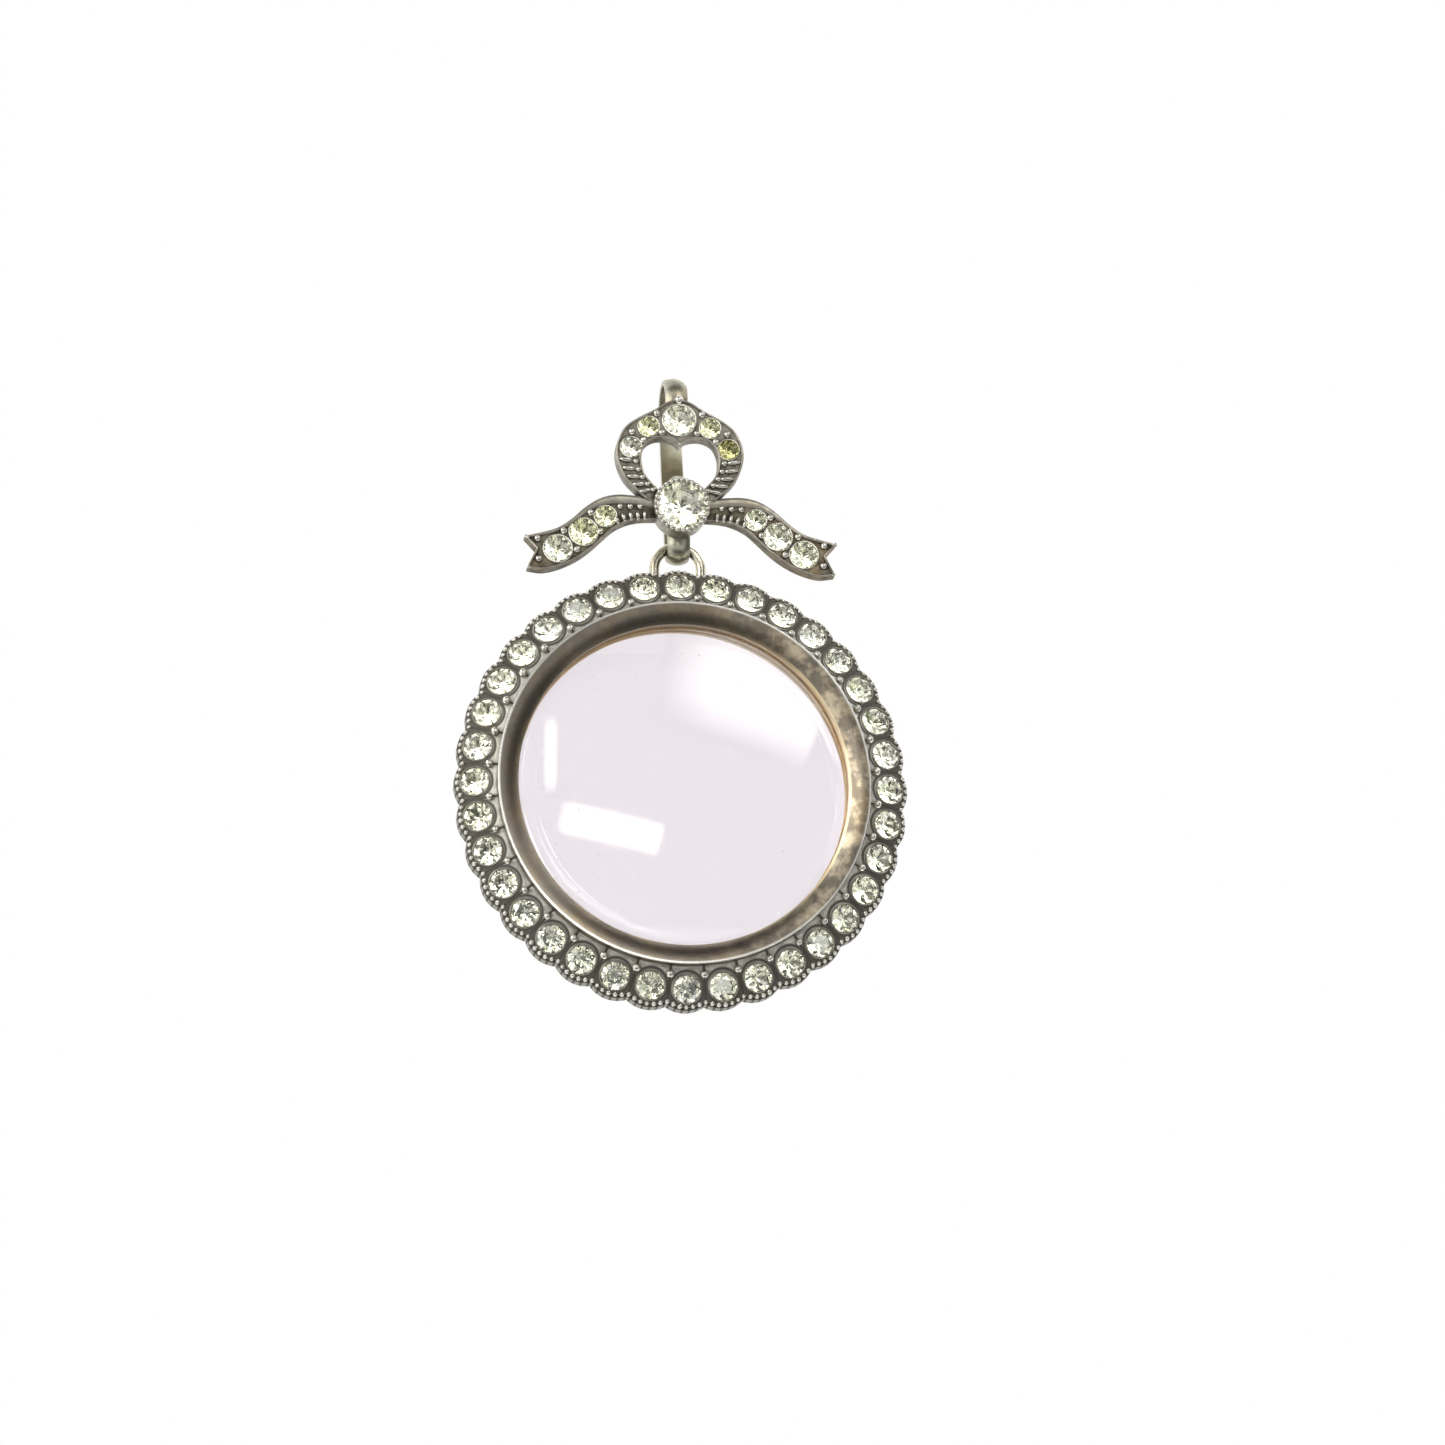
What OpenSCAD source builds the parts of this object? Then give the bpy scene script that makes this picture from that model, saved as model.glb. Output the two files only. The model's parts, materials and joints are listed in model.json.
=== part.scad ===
// A silver and paste locket: a stone-set halo round a glazed, hinged case,
// hung by a wire loop from a strap bail with a jewelled bow on its front.
// Millimetres. +Z is up, the front faces -Y, and the origin is the middle of
// the bail's eye, where the chain passes.
// The case is turned about the Y axis. Its profiles are drawn as [r, h], with
// r out from the middle of the case and h forward, towards the wearer's front.

/* [Bail] */
// Width of the bail's strap
strap_w = 1.9; // [1.6:0.05:2.0]
// Thickness of the strap at the crown of its dome
strap_t = 0.75; // [0.65:0.01:0.8]
// Inside radius of the top bend that the chain passes through
eye_r = 2.1; // [1.9:0.05:2.3]
// Inside radius of the bottom curl that the locket hangs in
curl_r = 0.82; // [0.81:0.01:0.86]
// Height of the eye above the axis on which the locket swings
eye_rise = 12.85; // [12.8:0.05:13.4]

/* [Bow] */
// Height of the knot's middle above the swing axis
knot_rise = 2.65; // [2.5:0.05:2.8]
// Thickness of the bow's heart-shaped pair of loops
loops_t = 1.3; // [1.2:0.05:1.5]
// Thickness of the two ribbon tails
tails_t = 1.15; // [1.1:0.05:1.2]
// Diameter of the knot's stone
knot_stone_d = 4.2; // [4:0.05:4.3]
// Diameter of the stone at the top of the bow
top_stone_d = 2.8; // [2.6:0.05:2.9]
// Diameter of the four stones in the loops
loop_stone_d = 1.8; // [1.6:0.05:1.9]
// Diameter of the two large stones in each tail
tail_stone_d = 2.4; // [2.2:0.05:2.5]
// Diameter of the small stone nearest the knot in each tail
tail_small_d = 1.85; // [1.7:0.05:1.95]

/* [Halo] */
// Number of stones in the halo
halo_count = 36; // [36:4:40]
// Radius of the circle on which the halo's stones sit
halo_ring_r = 17.6; // [17.55:0.05:17.7]
// Diameter of a halo stone
halo_stone_d = 2.5; // [2.3:0.05:2.5]
// Radius of the halo over the tips of its scallops
halo_r = 19.25; // [19.2:0.01:19.35]
// Radius of the arc of each scallop
scallop_r = 2.8; // [2.6:0.1:3]
// Outward slope of the halo's face, in degrees
halo_slope = 18; // [14:1:20]
// Thickness of the halo at its outer edge
halo_edge_t = 1.3; // [1.2:0.05:1.4]

/* [Case] */
// Outside radius of the case
case_r = 15.8; // [15.6:0.05:15.9]
// Radius of the opening that shows the front glass
window_r = 14.0; // [13.9:0.05:14.1]
// Wall thickness of the case band
wall_t = 0.9; // [0.85:0.01:0.92]
// How far the domed front glass rises above its rim
dome_rise = 1.3; // [0.9:0.05:1.6]
// Thickness of the glasses
glass_t = 0.7; // [0.6:0.05:0.75]

/* [Loop and hinge] */
// Radius of the loop's wire centre line
loop_r = 2.0; // [1.98:0.01:2.04]
// Diameter of the loop's wire
loop_wire_d = 0.85; // [0.8:0.01:0.88]
// Outside radius of the hinge knuckles
knuckle_r = 0.5; // [0.45:0.01:0.52]
// Radius of the hinge pin
pin_r = 0.25; // [0.22:0.01:0.26]
// Length of one hinge knuckle
knuckle_len = 1.7; // [1.5:0.1:2]

/* [Hidden] */

SILVER = [0.62, 0.60, 0.55];
DARK_SILVER = [0.48, 0.46, 0.40];
GOLD_TONE = [0.72, 0.62, 0.42];
PASTE = [0.90, 0.93, 0.82];
CLEAR_GLASS = [0.85, 0.88, 0.90, 0.45];

round_fn = 96;
turn_fn = 180;
lip_gap = 0.03;      // between faces of two bodies that meet when shut
seat_gap = 0.015;    // round a stone in its seat
overcut = 0.5;       // how far a cutting tool runs past what it cuts

// --- where things are ---
swing_z = -eye_rise;                    // the axis on which the locket swings
eye_y = eye_r - 1.0;                    // the eye is centred behind the bow
bow_back_y = -1.45;                     // the bow's back, soldered to the strap
knot_z = swing_z + knot_rise;
scallop_ring_r = halo_r - scallop_r;    // on which the scallops' arcs are centred
loop_centre_r = halo_ring_r + 1.9;      // the loop's middle, above the case's
loop_leg = 1.6;                         // from there down into the scallops
case_z = swing_z - loop_r - loop_centre_r;
case_y = 0.2;                           // the loop stands mid-way in the halo

// --- heights in the case, forward of its middle plane ---
halo_back_h = -0.45;
halo_edge_h = halo_back_h + halo_edge_t;
halo_root_h = halo_edge_h + (halo_r - case_r) * tan(halo_slope);
ledge_w = 0.23;                         // the ledge round the scallops, for beads
ledge_drop = 0.3;
parting_h = -1.0;
glass_seat_h = 1.75;
bezel_lip_h = 2.15;                     // the bezel's face slopes in from its
bezel_edge_h = 3.02;                    // outer edge to the lip over the glass
back_h = -2.2;
flange_t = 0.5;
wall_r = case_r - wall_t;
side_gap = 0.03;                        // round what slides into the case
halo_face_h = halo_edge_h + (halo_r - halo_ring_r) * tan(halo_slope);
stone_sink = 0.1;                       // from a face down to a stone's girdle
top_sink = 0.04;                        // the same for the bow's top stone

// --- the door ---
back_window_r = window_r - 0.1;
back_seat_h = -1.75;
snap_r = wall_r - 0.1;
back_wall_r = snap_r - 0.45;
snap_top_h = -0.45;
hinge_out = 0.55;                       // hinge axis, out from the case's wall
hinge_h = -1.05;
knuckle_gap = 0.05;

// --- the bow ---
bow_top = 9.85;                         // above the middle of the knot
knot_r = 2.3;
knot_lip_r = 2.42;
knot_foot_h = 1.5;
knot_h = 2.15;
knot_girdle_h = 2.0;

// Profiles [r, h] turned about the case's axis.
module turned() {
    translate([0, case_y, case_z]) rotate([90, 0, 0])
        rotate_extrude($fn = turn_fn) children();
}

// Children drawn flat in x and z, made solid from y_back forward by depth.
module plate(y_back, depth) {
    translate([0, y_back, 0]) rotate([90, 0, 0]) linear_extrude(depth) children();
}

// --- stones ---
// Proportions of a stone: half its girdle and its depth as parts of its
// diameter, and the break in its lower facets as a part of its radius.
GIRDLE_H = 0.015;
LOWER_R = 0.62;
LOWER_H = 0.20;
CULET_H = 0.37;
BEARING_R = 0.9;     // bore of a seat as a part of the stone's radius

// The points of a level ring of n, the first turned by a from the X axis.
function ring_points(n, r, a, h) =
    [for (k = [0:n - 1]) [r * cos(a + k * 360 / n), r * sin(a + k * 360 / n), h]];

// A round brilliant with an eight-sided table, as glass paste is cut. Its
// girdle is at the origin, its table faces +Z, and d is its diameter.
module brilliant(d) {
    r = d / 2;
    sides = 8;
    step = 360 / sides;
    table_r = 0.56 * r;
    star_r = 0.79 * r;
    crown_h = 0.17 * d;
    star_h = 0.108 * d;
    lower_r = LOWER_R * r;
    lower_h = -LOWER_H * d;
    culet_h = -CULET_H * d;
    n = 2 * sides;
    table = ring_points(sides, table_r, 0, crown_h);
    stars = ring_points(sides, star_r, step / 2, star_h);
    upper = ring_points(n, r, 0, GIRDLE_H * d);
    under = ring_points(n, r, 0, -GIRDLE_H * d);
    mains = ring_points(sides, lower_r, step / 2, lower_h);
    culet = [[0, 0, culet_h]];
    at_star = sides;
    at_upper = 2 * sides;
    at_under = at_upper + n;
    at_main = at_under + n;
    at_culet = at_main + sides;
    faces = concat(
        [[for (k = [sides - 1:-1:0]) k]],
        [for (k = [0:sides - 1]) [k, (k + 1) % sides, at_star + k]],
        [for (k = [0:sides - 1]) [k, at_star + k, at_upper + 2 * k]],
        [for (k = [0:sides - 1]) [k, at_upper + 2 * k, at_star + (k + sides - 1) % sides]],
        [for (k = [0:sides - 1]) [at_star + k, at_upper + 2 * k + 1, at_upper + 2 * k]],
        [for (k = [0:sides - 1]) [at_star + k, at_upper + (2 * k + 2) % n, at_upper + 2 * k + 1]],
        [for (k = [0:n - 1]) let (m = (k + 1) % n)
            [at_upper + k, at_upper + m, at_under + m, at_under + k]],
        [for (k = [0:sides - 1]) [at_main + k, at_under + 2 * k, at_under + 2 * k + 1]],
        [for (k = [0:sides - 1]) [at_main + k, at_under + 2 * k + 1, at_under + (2 * k + 2) % n]],
        [for (k = [0:sides - 1]) [at_culet, at_under + 2 * k, at_main + k]],
        [for (k = [0:sides - 1]) [at_culet, at_main + (k + sides - 1) % sides, at_under + 2 * k]]
    );
    polyhedron(points = concat(table, stars, upper, under, mains, culet), faces = faces, convexity = 2);
}

// Cuts the seat of a stone whose girdle is at the origin: a counterbore for
// the girdle, and a blind bore whose edge bears the lower facets.
module stone_seat(d) {
    r = d / 2;
    facet_drop = (1 - BEARING_R) / (1 - LOWER_R) * (LOWER_H - GIRDLE_H) * d;
    bearing_h = -GIRDLE_H * d - facet_drop - seat_gap;
    translate([0, 0, bearing_h]) cylinder(r = r + seat_gap, h = d, $fn = 64);
    translate([0, 0, -CULET_H * d - 0.06]) cylinder(r = BEARING_R * r, h = d, $fn = 64);
}

// Puts children, drawn facing +Z, at [x, z] from the knot's middle, facing
// forward with their origin at the depth y.
module on_bow(at, y) {
    translate([at[0], y, knot_z + at[1]]) rotate([90, 0, 0]) children();
}

// Puts children, drawn facing +Z, at each stone of the halo.
module round_halo() {
    for (k = [0:halo_count - 1])
        translate([0, case_y, case_z]) rotate([0, k * 360 / halo_count, 0])
            translate([0, -halo_face_h, halo_ring_r]) rotate([90 - halo_slope, 0, 0])
                translate([0, 0, -stone_sink]) children();
}

// --- bail ---
// The strap's section: flat inside at x = inner, and domed outside.
module strap_section(inner) {
    edge_t = 0.55 * strap_t;
    sag = strap_t - edge_t;
    dome_r = (pow(strap_w / 2, 2) + sag * sag) / (2 * sag);
    translate([inner, 0]) intersection() {
        translate([0, -strap_w / 2]) square([strap_t, strap_w]);
        translate([strap_t - dome_r, 0]) circle(dome_r, $fn = 360);
    }
}

// Side view: x of a child is +Y, its y is +Z and its z is +X.
module side_view() {
    rotate([90, 0, 90]) children();
}

// A length of strap bent round the origin from the X axis through the sweep.
module strap_bend(inner, sweep) {
    rotate_extrude(angle = sweep, $fn = round_fn) strap_section(inner);
}

// A straight length of strap that leaves such a bend's start and runs towards -Y.
module strap_leg(inner, len) {
    rotate([90, 0, 0]) linear_extrude(len) strap_section(inner);
}

// Such a leg with a round end.
module strap_tab(inner, len) {
    straight = len - strap_w / 2;
    intersection() {
        strap_leg(inner, len);
        rotate([90, 0, 90]) linear_extrude(2 * inner + strap_t) {
            translate([-straight, -strap_w / 2]) square([straight, strap_w]);
            translate([-straight, 0]) circle(strap_w / 2, $fn = 64);
        }
    }
}

// Rounded to a thousandth, so that lengths laid end to end meet exactly.
function thousandth(x) = round(1000 * x) / 1000;

// One chain of bends and legs, each laid from the end of the one before it,
// and a thin tongue that carries the strap's front end down behind the bow.
module bail_strap() {
    span = norm([eye_y, eye_rise]);
    tangent = thousandth(atan2(eye_rise, eye_y) - acos((curl_r - eye_r) / span));
    leg_len = thousandth(sqrt(span * span - pow(eye_r - curl_r, 2)));
    past_front = 8;                       // the top bend's turn below the eye's level
    tongue = [strap_w - 0.2, 0.4, 2.35];
    tongue_low = 2.6;                     // its lower end, below the eye
    tab_len = 6.0;                        // from the curl up to the knot's back
    solder_low = knot_z - knot_r;
    solder_high = knot_z + bow_top;
    color(SILVER) difference() {
        union() {
            side_view() translate([eye_y, 0]) rotate([0, 0, tangent]) {
                strap_bend(eye_r, 180 + past_front - tangent);
                strap_leg(eye_r, leg_len);
                translate([eye_r - curl_r, -leg_len]) {
                    mirror([0, 1, 0]) strap_bend(curl_r, 180 + tangent);
                    rotate([0, 0, 180 - tangent]) strap_tab(curl_r, tab_len);
                }
            }
            translate([-tongue[0] / 2, bow_back_y, -tongue_low]) cube(tongue);
        }
        // flats on the strap's dome, where the bow is soldered to it
        translate([-strap_w, bow_back_y - 2, solder_low]) cube([2 * strap_w, 2, solder_high - solder_low]);
    }
}

// --- bow ---
// Outlines are [x, z] from the middle of the knot, for the side at +x.
// The smooth curve through a list of points, each stretch in n steps.
function curve(p, n) = concat(
    [for (i = [0:len(p) - 2]) for (k = [0:n - 1]) curve_point(p, i, k / n)],
    [p[len(p) - 1]]
);
function curve_point(p, i, t) = let (
    a = p[max(i - 1, 0)],
    b = p[i],
    c = p[i + 1],
    d = p[min(i + 2, len(p) - 1)]
) 0.5 * (2 * b + t * (c - a) + t * t * (2 * a - 5 * b + 4 * c - d) + t * t * t * (3 * b - a - 3 * c + d));
function mirrored(p) = [for (i = [len(p) - 1:-1:0]) [-p[i][0], p[i][1]]];

LOOP_OUTER = [
    [0, bow_top], [1.0, 9.55], [2.0, 8.9], [3.7, 7.95], [4.7, 7.15],
    [5.3, 6.0], [5.5, 4.8], [5.25, 3.55], [4.6, 2.3], [2.9, 0.6],
];
LOOP_INNER = [
    [0, 5.5], [0.45, 6.0], [1.2, 6.25], [2.1, 6.2], [2.9, 5.7],
    [3.3, 4.7], [3.25, 3.6], [2.8, 2.6], [1.5, 1.2],
];
TAIL_UPPER = [
    [2.0, 0.8], [4.2, 1.05], [5.7, 1.05], [7.0, 0.65], [8.2, -0.15],
    [9.4, -1.25], [10.6, -2.05], [12.0, -2.5], [13.4, -2.85],
];
TAIL_NOTCH = [12.4, -3.95];
TAIL_LOWER = [
    [13.2, -5.65], [11.8, -5.8], [10.3, -5.4], [8.9, -4.7], [7.7, -3.8],
    [6.6, -2.75], [5.5, -1.8], [3.9, -1.15], [2.0, -1.0],
];
LOOP_STONES = [[2.65, 7.25], [4.2, 5.35]];
TAIL_STONES = [[8.35, -2.35], [10.55, -3.9]];
TAIL_SMALL = [6.45, -0.9];
TOP_STONE = [0, 7.9];

module loops_outline() {
    outer = curve(LOOP_OUTER, 6);
    inner = curve(LOOP_INNER, 6);
    difference() {
        polygon(concat(outer, mirrored(outer)));
        polygon(concat(inner, mirrored(inner)));
    }
}

module tail_outline() {
    difference() {
        polygon(concat(curve(TAIL_UPPER, 6), [TAIL_NOTCH], curve(TAIL_LOWER, 6)));
        loops_outline();
        circle(knot_r, $fn = round_fn);
    }
}

module bow_loops() {
    front_y = bow_back_y - loops_t;
    color(SILVER) difference() {
        translate([0, 0, knot_z]) plate(bow_back_y, loops_t) difference() {
            loops_outline();
            circle(knot_r, $fn = round_fn);
        }
        on_bow(TOP_STONE, front_y + top_sink) stone_seat(top_stone_d);
        for (s = [-1, 1]) for (p = LOOP_STONES)
            on_bow([s * p[0], p[1]], front_y + stone_sink) stone_seat(loop_stone_d);
    }
}

// One tail; side is 1 for the one at +x and -1 for the one at -x.
module bow_tail(side) {
    front_y = bow_back_y - tails_t;
    color(SILVER) difference() {
        translate([0, 0, knot_z]) plate(bow_back_y, tails_t)
            mirror([side < 0 ? 1 : 0, 0]) tail_outline();
        for (p = TAIL_STONES)
            on_bow([side * p[0], p[1]], front_y + stone_sink) stone_seat(tail_stone_d);
        on_bow([side * TAIL_SMALL[0], TAIL_SMALL[1]], front_y + stone_sink) stone_seat(tail_small_d);
    }
}

module bow_tail_left() {
    bow_tail(-1);
}

module bow_tail_right() {
    bow_tail(1);
}

// The cup that holds the knot's stone: a straight foot between the bands of
// the bow, flaring to a thin lip round the stone.
module knot_collet() {
    color(SILVER) on_bow([0, 0], bow_back_y) difference() {
        rotate_extrude($fn = round_fn) polygon([
            [0, 0], [knot_r, 0], [knot_r, knot_foot_h], [knot_lip_r, knot_h - 0.2],
            [knot_lip_r - 0.08, knot_h], [0, knot_h],
        ]);
        translate([0, 0, knot_girdle_h]) stone_seat(knot_stone_d);
    }
}

module knot_stone() {
    color(PASTE) on_bow([0, 0], bow_back_y - knot_girdle_h) brilliant(knot_stone_d);
}

module bow_top_stone() {
    color(PASTE) on_bow(TOP_STONE, bow_back_y - loops_t + top_sink) brilliant(top_stone_d);
}

module loop_stones() {
    color(PASTE) for (s = [-1, 1]) for (p = LOOP_STONES)
        on_bow([s * p[0], p[1]], bow_back_y - loops_t + stone_sink) brilliant(loop_stone_d);
}

module tail_stones(side) {
    girdle_y = bow_back_y - tails_t + stone_sink;
    color(PASTE) {
        for (p = TAIL_STONES) on_bow([side * p[0], p[1]], girdle_y) brilliant(tail_stone_d);
        on_bow([side * TAIL_SMALL[0], TAIL_SMALL[1]], girdle_y) brilliant(tail_small_d);
    }
}

module tail_stones_left() {
    tail_stones(-1);
}

module tail_stones_right() {
    tail_stones(1);
}

// --- halo and loop ---
// The halo's scalloped outline with arcs of radius r, through the case from
// front to back, for the scallops named by their numbers from the top.
module scallops(r, numbers) {
    translate([0, case_y + 4, case_z]) rotate([90, 0, 0]) linear_extrude(8) {
        for (k = numbers) rotate(-k * 360 / halo_count)
            translate([0, scallop_ring_r]) circle(r, $fn = round_fn);
    }
}

// The halo's sloping plate between its back and a face, dropped below the
// stones' face by drop, with lobes of radius r.
module halo_plate(drop, r) {
    out_r = halo_r + overcut;
    intersection() {
        turned() polygon([
            [case_r, halo_back_h], [out_r, halo_back_h],
            [out_r, halo_edge_h - overcut * tan(halo_slope) - drop], [case_r, halo_root_h - drop],
        ]);
        scallops(r, [0:halo_count - 1]);
    }
}

// The stones' collars stand on a wider plate, whose ledge carries their beads.
module halo_frame() {
    color(SILVER) difference() {
        union() {
            halo_plate(ledge_drop, scallop_r);
            halo_plate(0, scallop_r - ledge_w);
        }
        round_halo() stone_seat(halo_stone_d);
    }
}

module halo_stones() {
    color(PASTE) round_halo() brilliant(halo_stone_d);
}

// A wire loop whose two legs stand between the halo's top scallops.
module suspension_loop() {
    color(SILVER) translate([0, 0, swing_z - loop_r]) {
        rotate([90, 0, 0]) rotate_extrude(angle = 180, $fn = turn_fn)
            translate([loop_r, 0]) circle(loop_wire_d / 2, $fn = round_fn);
        for (s = [-1, 1]) difference() {
            translate([s * loop_r, 0, -loop_leg])
                cylinder(r = loop_wire_d / 2, h = loop_leg, $fn = round_fn);
            translate([0, 0, loop_r - swing_z]) scallops(scallop_r, [0, s]);
        }
    }
}

// --- case ---
// The bezel's face is a slightly domed cone: an arc from its edge to its lip.
module case_band() {
    face_r = 4;
    chord = [case_r - window_r, bezel_edge_h - bezel_lip_h];
    middle = [window_r, bezel_lip_h] + chord / 2;
    inward = [chord[1], -chord[0]] / norm(chord);
    face_centre = middle + inward * sqrt(face_r * face_r - pow(norm(chord) / 2, 2));
    color(SILVER) turned() difference() {
        intersection() {
            translate([window_r, parting_h]) square([chord[0], bezel_edge_h + 1 - parting_h]);
            translate(face_centre) circle(face_r, $fn = turn_fn);
        }
        translate([window_r - 1, parting_h - 1])
            square([wall_r - window_r + 1, glass_seat_h - parting_h + 1]);
    }
}

module front_glass() {
    dome_edge = window_r - 0.1;
    dome_r = (dome_edge * dome_edge + dome_rise * dome_rise) / (2 * dome_rise);
    back = glass_seat_h - flange_t;
    color(CLEAR_GLASS) turned() {
        translate([dome_edge - 0.2, back]) square([wall_r - side_gap - dome_edge + 0.2, flange_t]);
        intersection() {
            translate([0, glass_seat_h + dome_rise - dome_r]) difference() {
                circle(dome_r, $fn = 720);
                circle(dome_r - glass_t, $fn = 720);
            }
            translate([0, back]) square([dome_edge, dome_rise + flange_t + 1]);
        }
    }
}

// The ring inside the case that holds the front glass against its lip.
module front_photo_ring() {
    top = glass_seat_h - flange_t;
    color(GOLD_TONE) turned() {
        translate([window_r + 0.1, 0]) square([wall_r - side_gap - window_r - 0.1, top]);
        translate([window_r - 0.2, 0]) square([1, 0.3]);
    }
}

// --- hinge ---
// Puts children, drawn up the Z axis, on the axis of the door's hinge.
module on_hinge() {
    translate([-case_r - hinge_out, case_y - hinge_h, case_z]) children();
}

// A knuckle from z0 to z1 and its web to the case between the heights h0 and
// h1, bored for the pin.
module knuckle(z0, z1, h0, h1, bore_r) {
    difference() {
        union() {
            on_hinge() translate([0, 0, z0]) cylinder(r = knuckle_r, h = z1 - z0, $fn = 64);
            difference() {
                translate([-case_r - hinge_out, case_y - h1, case_z + z0])
                    cube([hinge_out + 1, h1 - h0, z1 - z0]);
                translate([0, case_y, case_z]) rotate([90, 0, 0])
                    cylinder(r = case_r, h = 8, center = true, $fn = turn_fn);
            }
        }
        on_hinge() cylinder(r = bore_r, h = 20, center = true, $fn = 64);
    }
}

module case_knuckles() {
    near = knuckle_len / 2 + knuckle_gap;
    far = near + knuckle_len;
    web_top = hinge_h + knuckle_r;
    color(SILVER) {
        knuckle(near, far, parting_h, web_top, pin_r + 0.005);
        knuckle(-far, -near, parting_h, web_top, pin_r + 0.005);
    }
}

module door_knuckle() {
    half = knuckle_len / 2;
    color(SILVER) knuckle(-half, half, hinge_h - knuckle_r, parting_h - lip_gap, pin_r + 0.03);
}

module hinge_pin() {
    pin_len = 3 * knuckle_len + 2 * knuckle_gap + 0.2;
    color(DARK_SILVER) on_hinge() cylinder(r = pin_r, h = pin_len, center = true, $fn = 64);
}

// --- door ---
module rear_bezel() {
    color(SILVER) turned() polygon([
        [case_r, parting_h - lip_gap], [case_r, back_h + 0.3], [case_r - 0.3, back_h],
        [back_window_r + 0.2, back_h], [back_window_r, back_h + 0.2], [back_window_r, back_seat_h],
        [back_wall_r, back_seat_h], [back_wall_r, snap_top_h], [snap_r - 0.1, snap_top_h],
        [snap_r, snap_top_h - 0.1], [snap_r, parting_h - lip_gap],
    ]);
}

// A flat glass with a bevel that stands in the door's window.
module rear_glass() {
    bevel_h = 0.25;
    color(CLEAR_GLASS) turned() polygon([
        [0, back_seat_h + glass_t], [back_wall_r - side_gap, back_seat_h + glass_t],
        [back_wall_r - side_gap, back_seat_h], [back_window_r - 0.1, back_seat_h],
        [back_window_r - 0.9, back_seat_h - bevel_h], [0, back_seat_h - bevel_h],
    ]);
}

// The ring that holds the rear glass against the door's lip.
module rear_photo_ring() {
    color(GOLD_TONE) turned() translate([back_window_r - 0.2, back_seat_h + glass_t])
        square([back_wall_r - side_gap - back_window_r + 0.2, snap_top_h - back_seat_h - glass_t - 0.05]);
}

// A crescent on the door's rim, opposite the hinge, to open it with a nail.
module thumb_lip() {
    lip_top = parting_h - lip_gap - 0.1;
    lip_t = 0.5;
    color(SILVER) difference() {
        translate([case_r - 0.5, case_y - lip_top, case_z]) rotate([-90, 0, 0])
            cylinder(r = 1.6, h = lip_t, $fn = 64);
        translate([0, case_y, case_z]) rotate([90, 0, 0])
            cylinder(r = case_r, h = 12, center = true, $fn = turn_fn);
    }
}

bail_strap();
bow_loops();
bow_tail_left();
bow_tail_right();
knot_collet();
knot_stone();
bow_top_stone();
loop_stones();
tail_stones_left();
tail_stones_right();
suspension_loop();
halo_frame();
halo_stones();
case_band();
front_glass();
front_photo_ring();
case_knuckles();
hinge_pin();
rear_bezel();
rear_glass();
rear_photo_ring();
door_knuckle();
thumb_lip();
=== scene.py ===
import json
import math

import bmesh
import bpy
import numpy as np
from mathutils import Matrix, Vector
from mathutils.bvhtree import BVHTree

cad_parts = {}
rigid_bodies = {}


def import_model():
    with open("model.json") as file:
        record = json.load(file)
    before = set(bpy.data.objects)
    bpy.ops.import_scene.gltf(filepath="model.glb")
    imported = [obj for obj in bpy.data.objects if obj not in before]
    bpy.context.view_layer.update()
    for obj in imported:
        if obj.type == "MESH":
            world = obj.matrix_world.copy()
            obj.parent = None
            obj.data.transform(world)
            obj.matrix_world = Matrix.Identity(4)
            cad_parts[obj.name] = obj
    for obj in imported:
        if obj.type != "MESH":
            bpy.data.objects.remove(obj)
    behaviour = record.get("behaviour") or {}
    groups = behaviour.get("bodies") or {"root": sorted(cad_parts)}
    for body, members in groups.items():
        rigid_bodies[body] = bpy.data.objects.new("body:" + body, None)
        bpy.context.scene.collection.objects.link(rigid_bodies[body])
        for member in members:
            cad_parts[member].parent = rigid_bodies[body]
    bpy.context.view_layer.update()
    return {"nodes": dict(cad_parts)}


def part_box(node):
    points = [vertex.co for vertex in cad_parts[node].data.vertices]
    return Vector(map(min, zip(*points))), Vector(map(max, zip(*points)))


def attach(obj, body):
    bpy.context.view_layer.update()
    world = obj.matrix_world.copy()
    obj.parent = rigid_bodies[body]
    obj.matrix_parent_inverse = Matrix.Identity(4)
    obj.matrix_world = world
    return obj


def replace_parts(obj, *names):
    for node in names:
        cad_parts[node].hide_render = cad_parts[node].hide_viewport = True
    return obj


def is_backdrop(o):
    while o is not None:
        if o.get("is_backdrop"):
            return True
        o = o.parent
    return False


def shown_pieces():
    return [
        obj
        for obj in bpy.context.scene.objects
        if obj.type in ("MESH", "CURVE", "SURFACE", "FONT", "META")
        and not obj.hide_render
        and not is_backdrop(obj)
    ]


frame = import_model()
MM = 0.001

# --- image points, in the photograph's own pixels ---
W = 1445
H = 1445
L = max(W, H)
EDGES = {"left": 453, "right": 907, "top": 377, "bottom": 1014}
POINTS = {
    "knot stone": (682, 505),
    "top stone": (679, 420),
    "left tail outer stone": (558, 544),
    "right tail outer stone": (804, 551),
    "lowest halo stone": (687, 989),
    "bow top grain": (679, 400),
    "right tail grain": (741, 510),
    "right loop rib": (734, 463),
}

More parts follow.
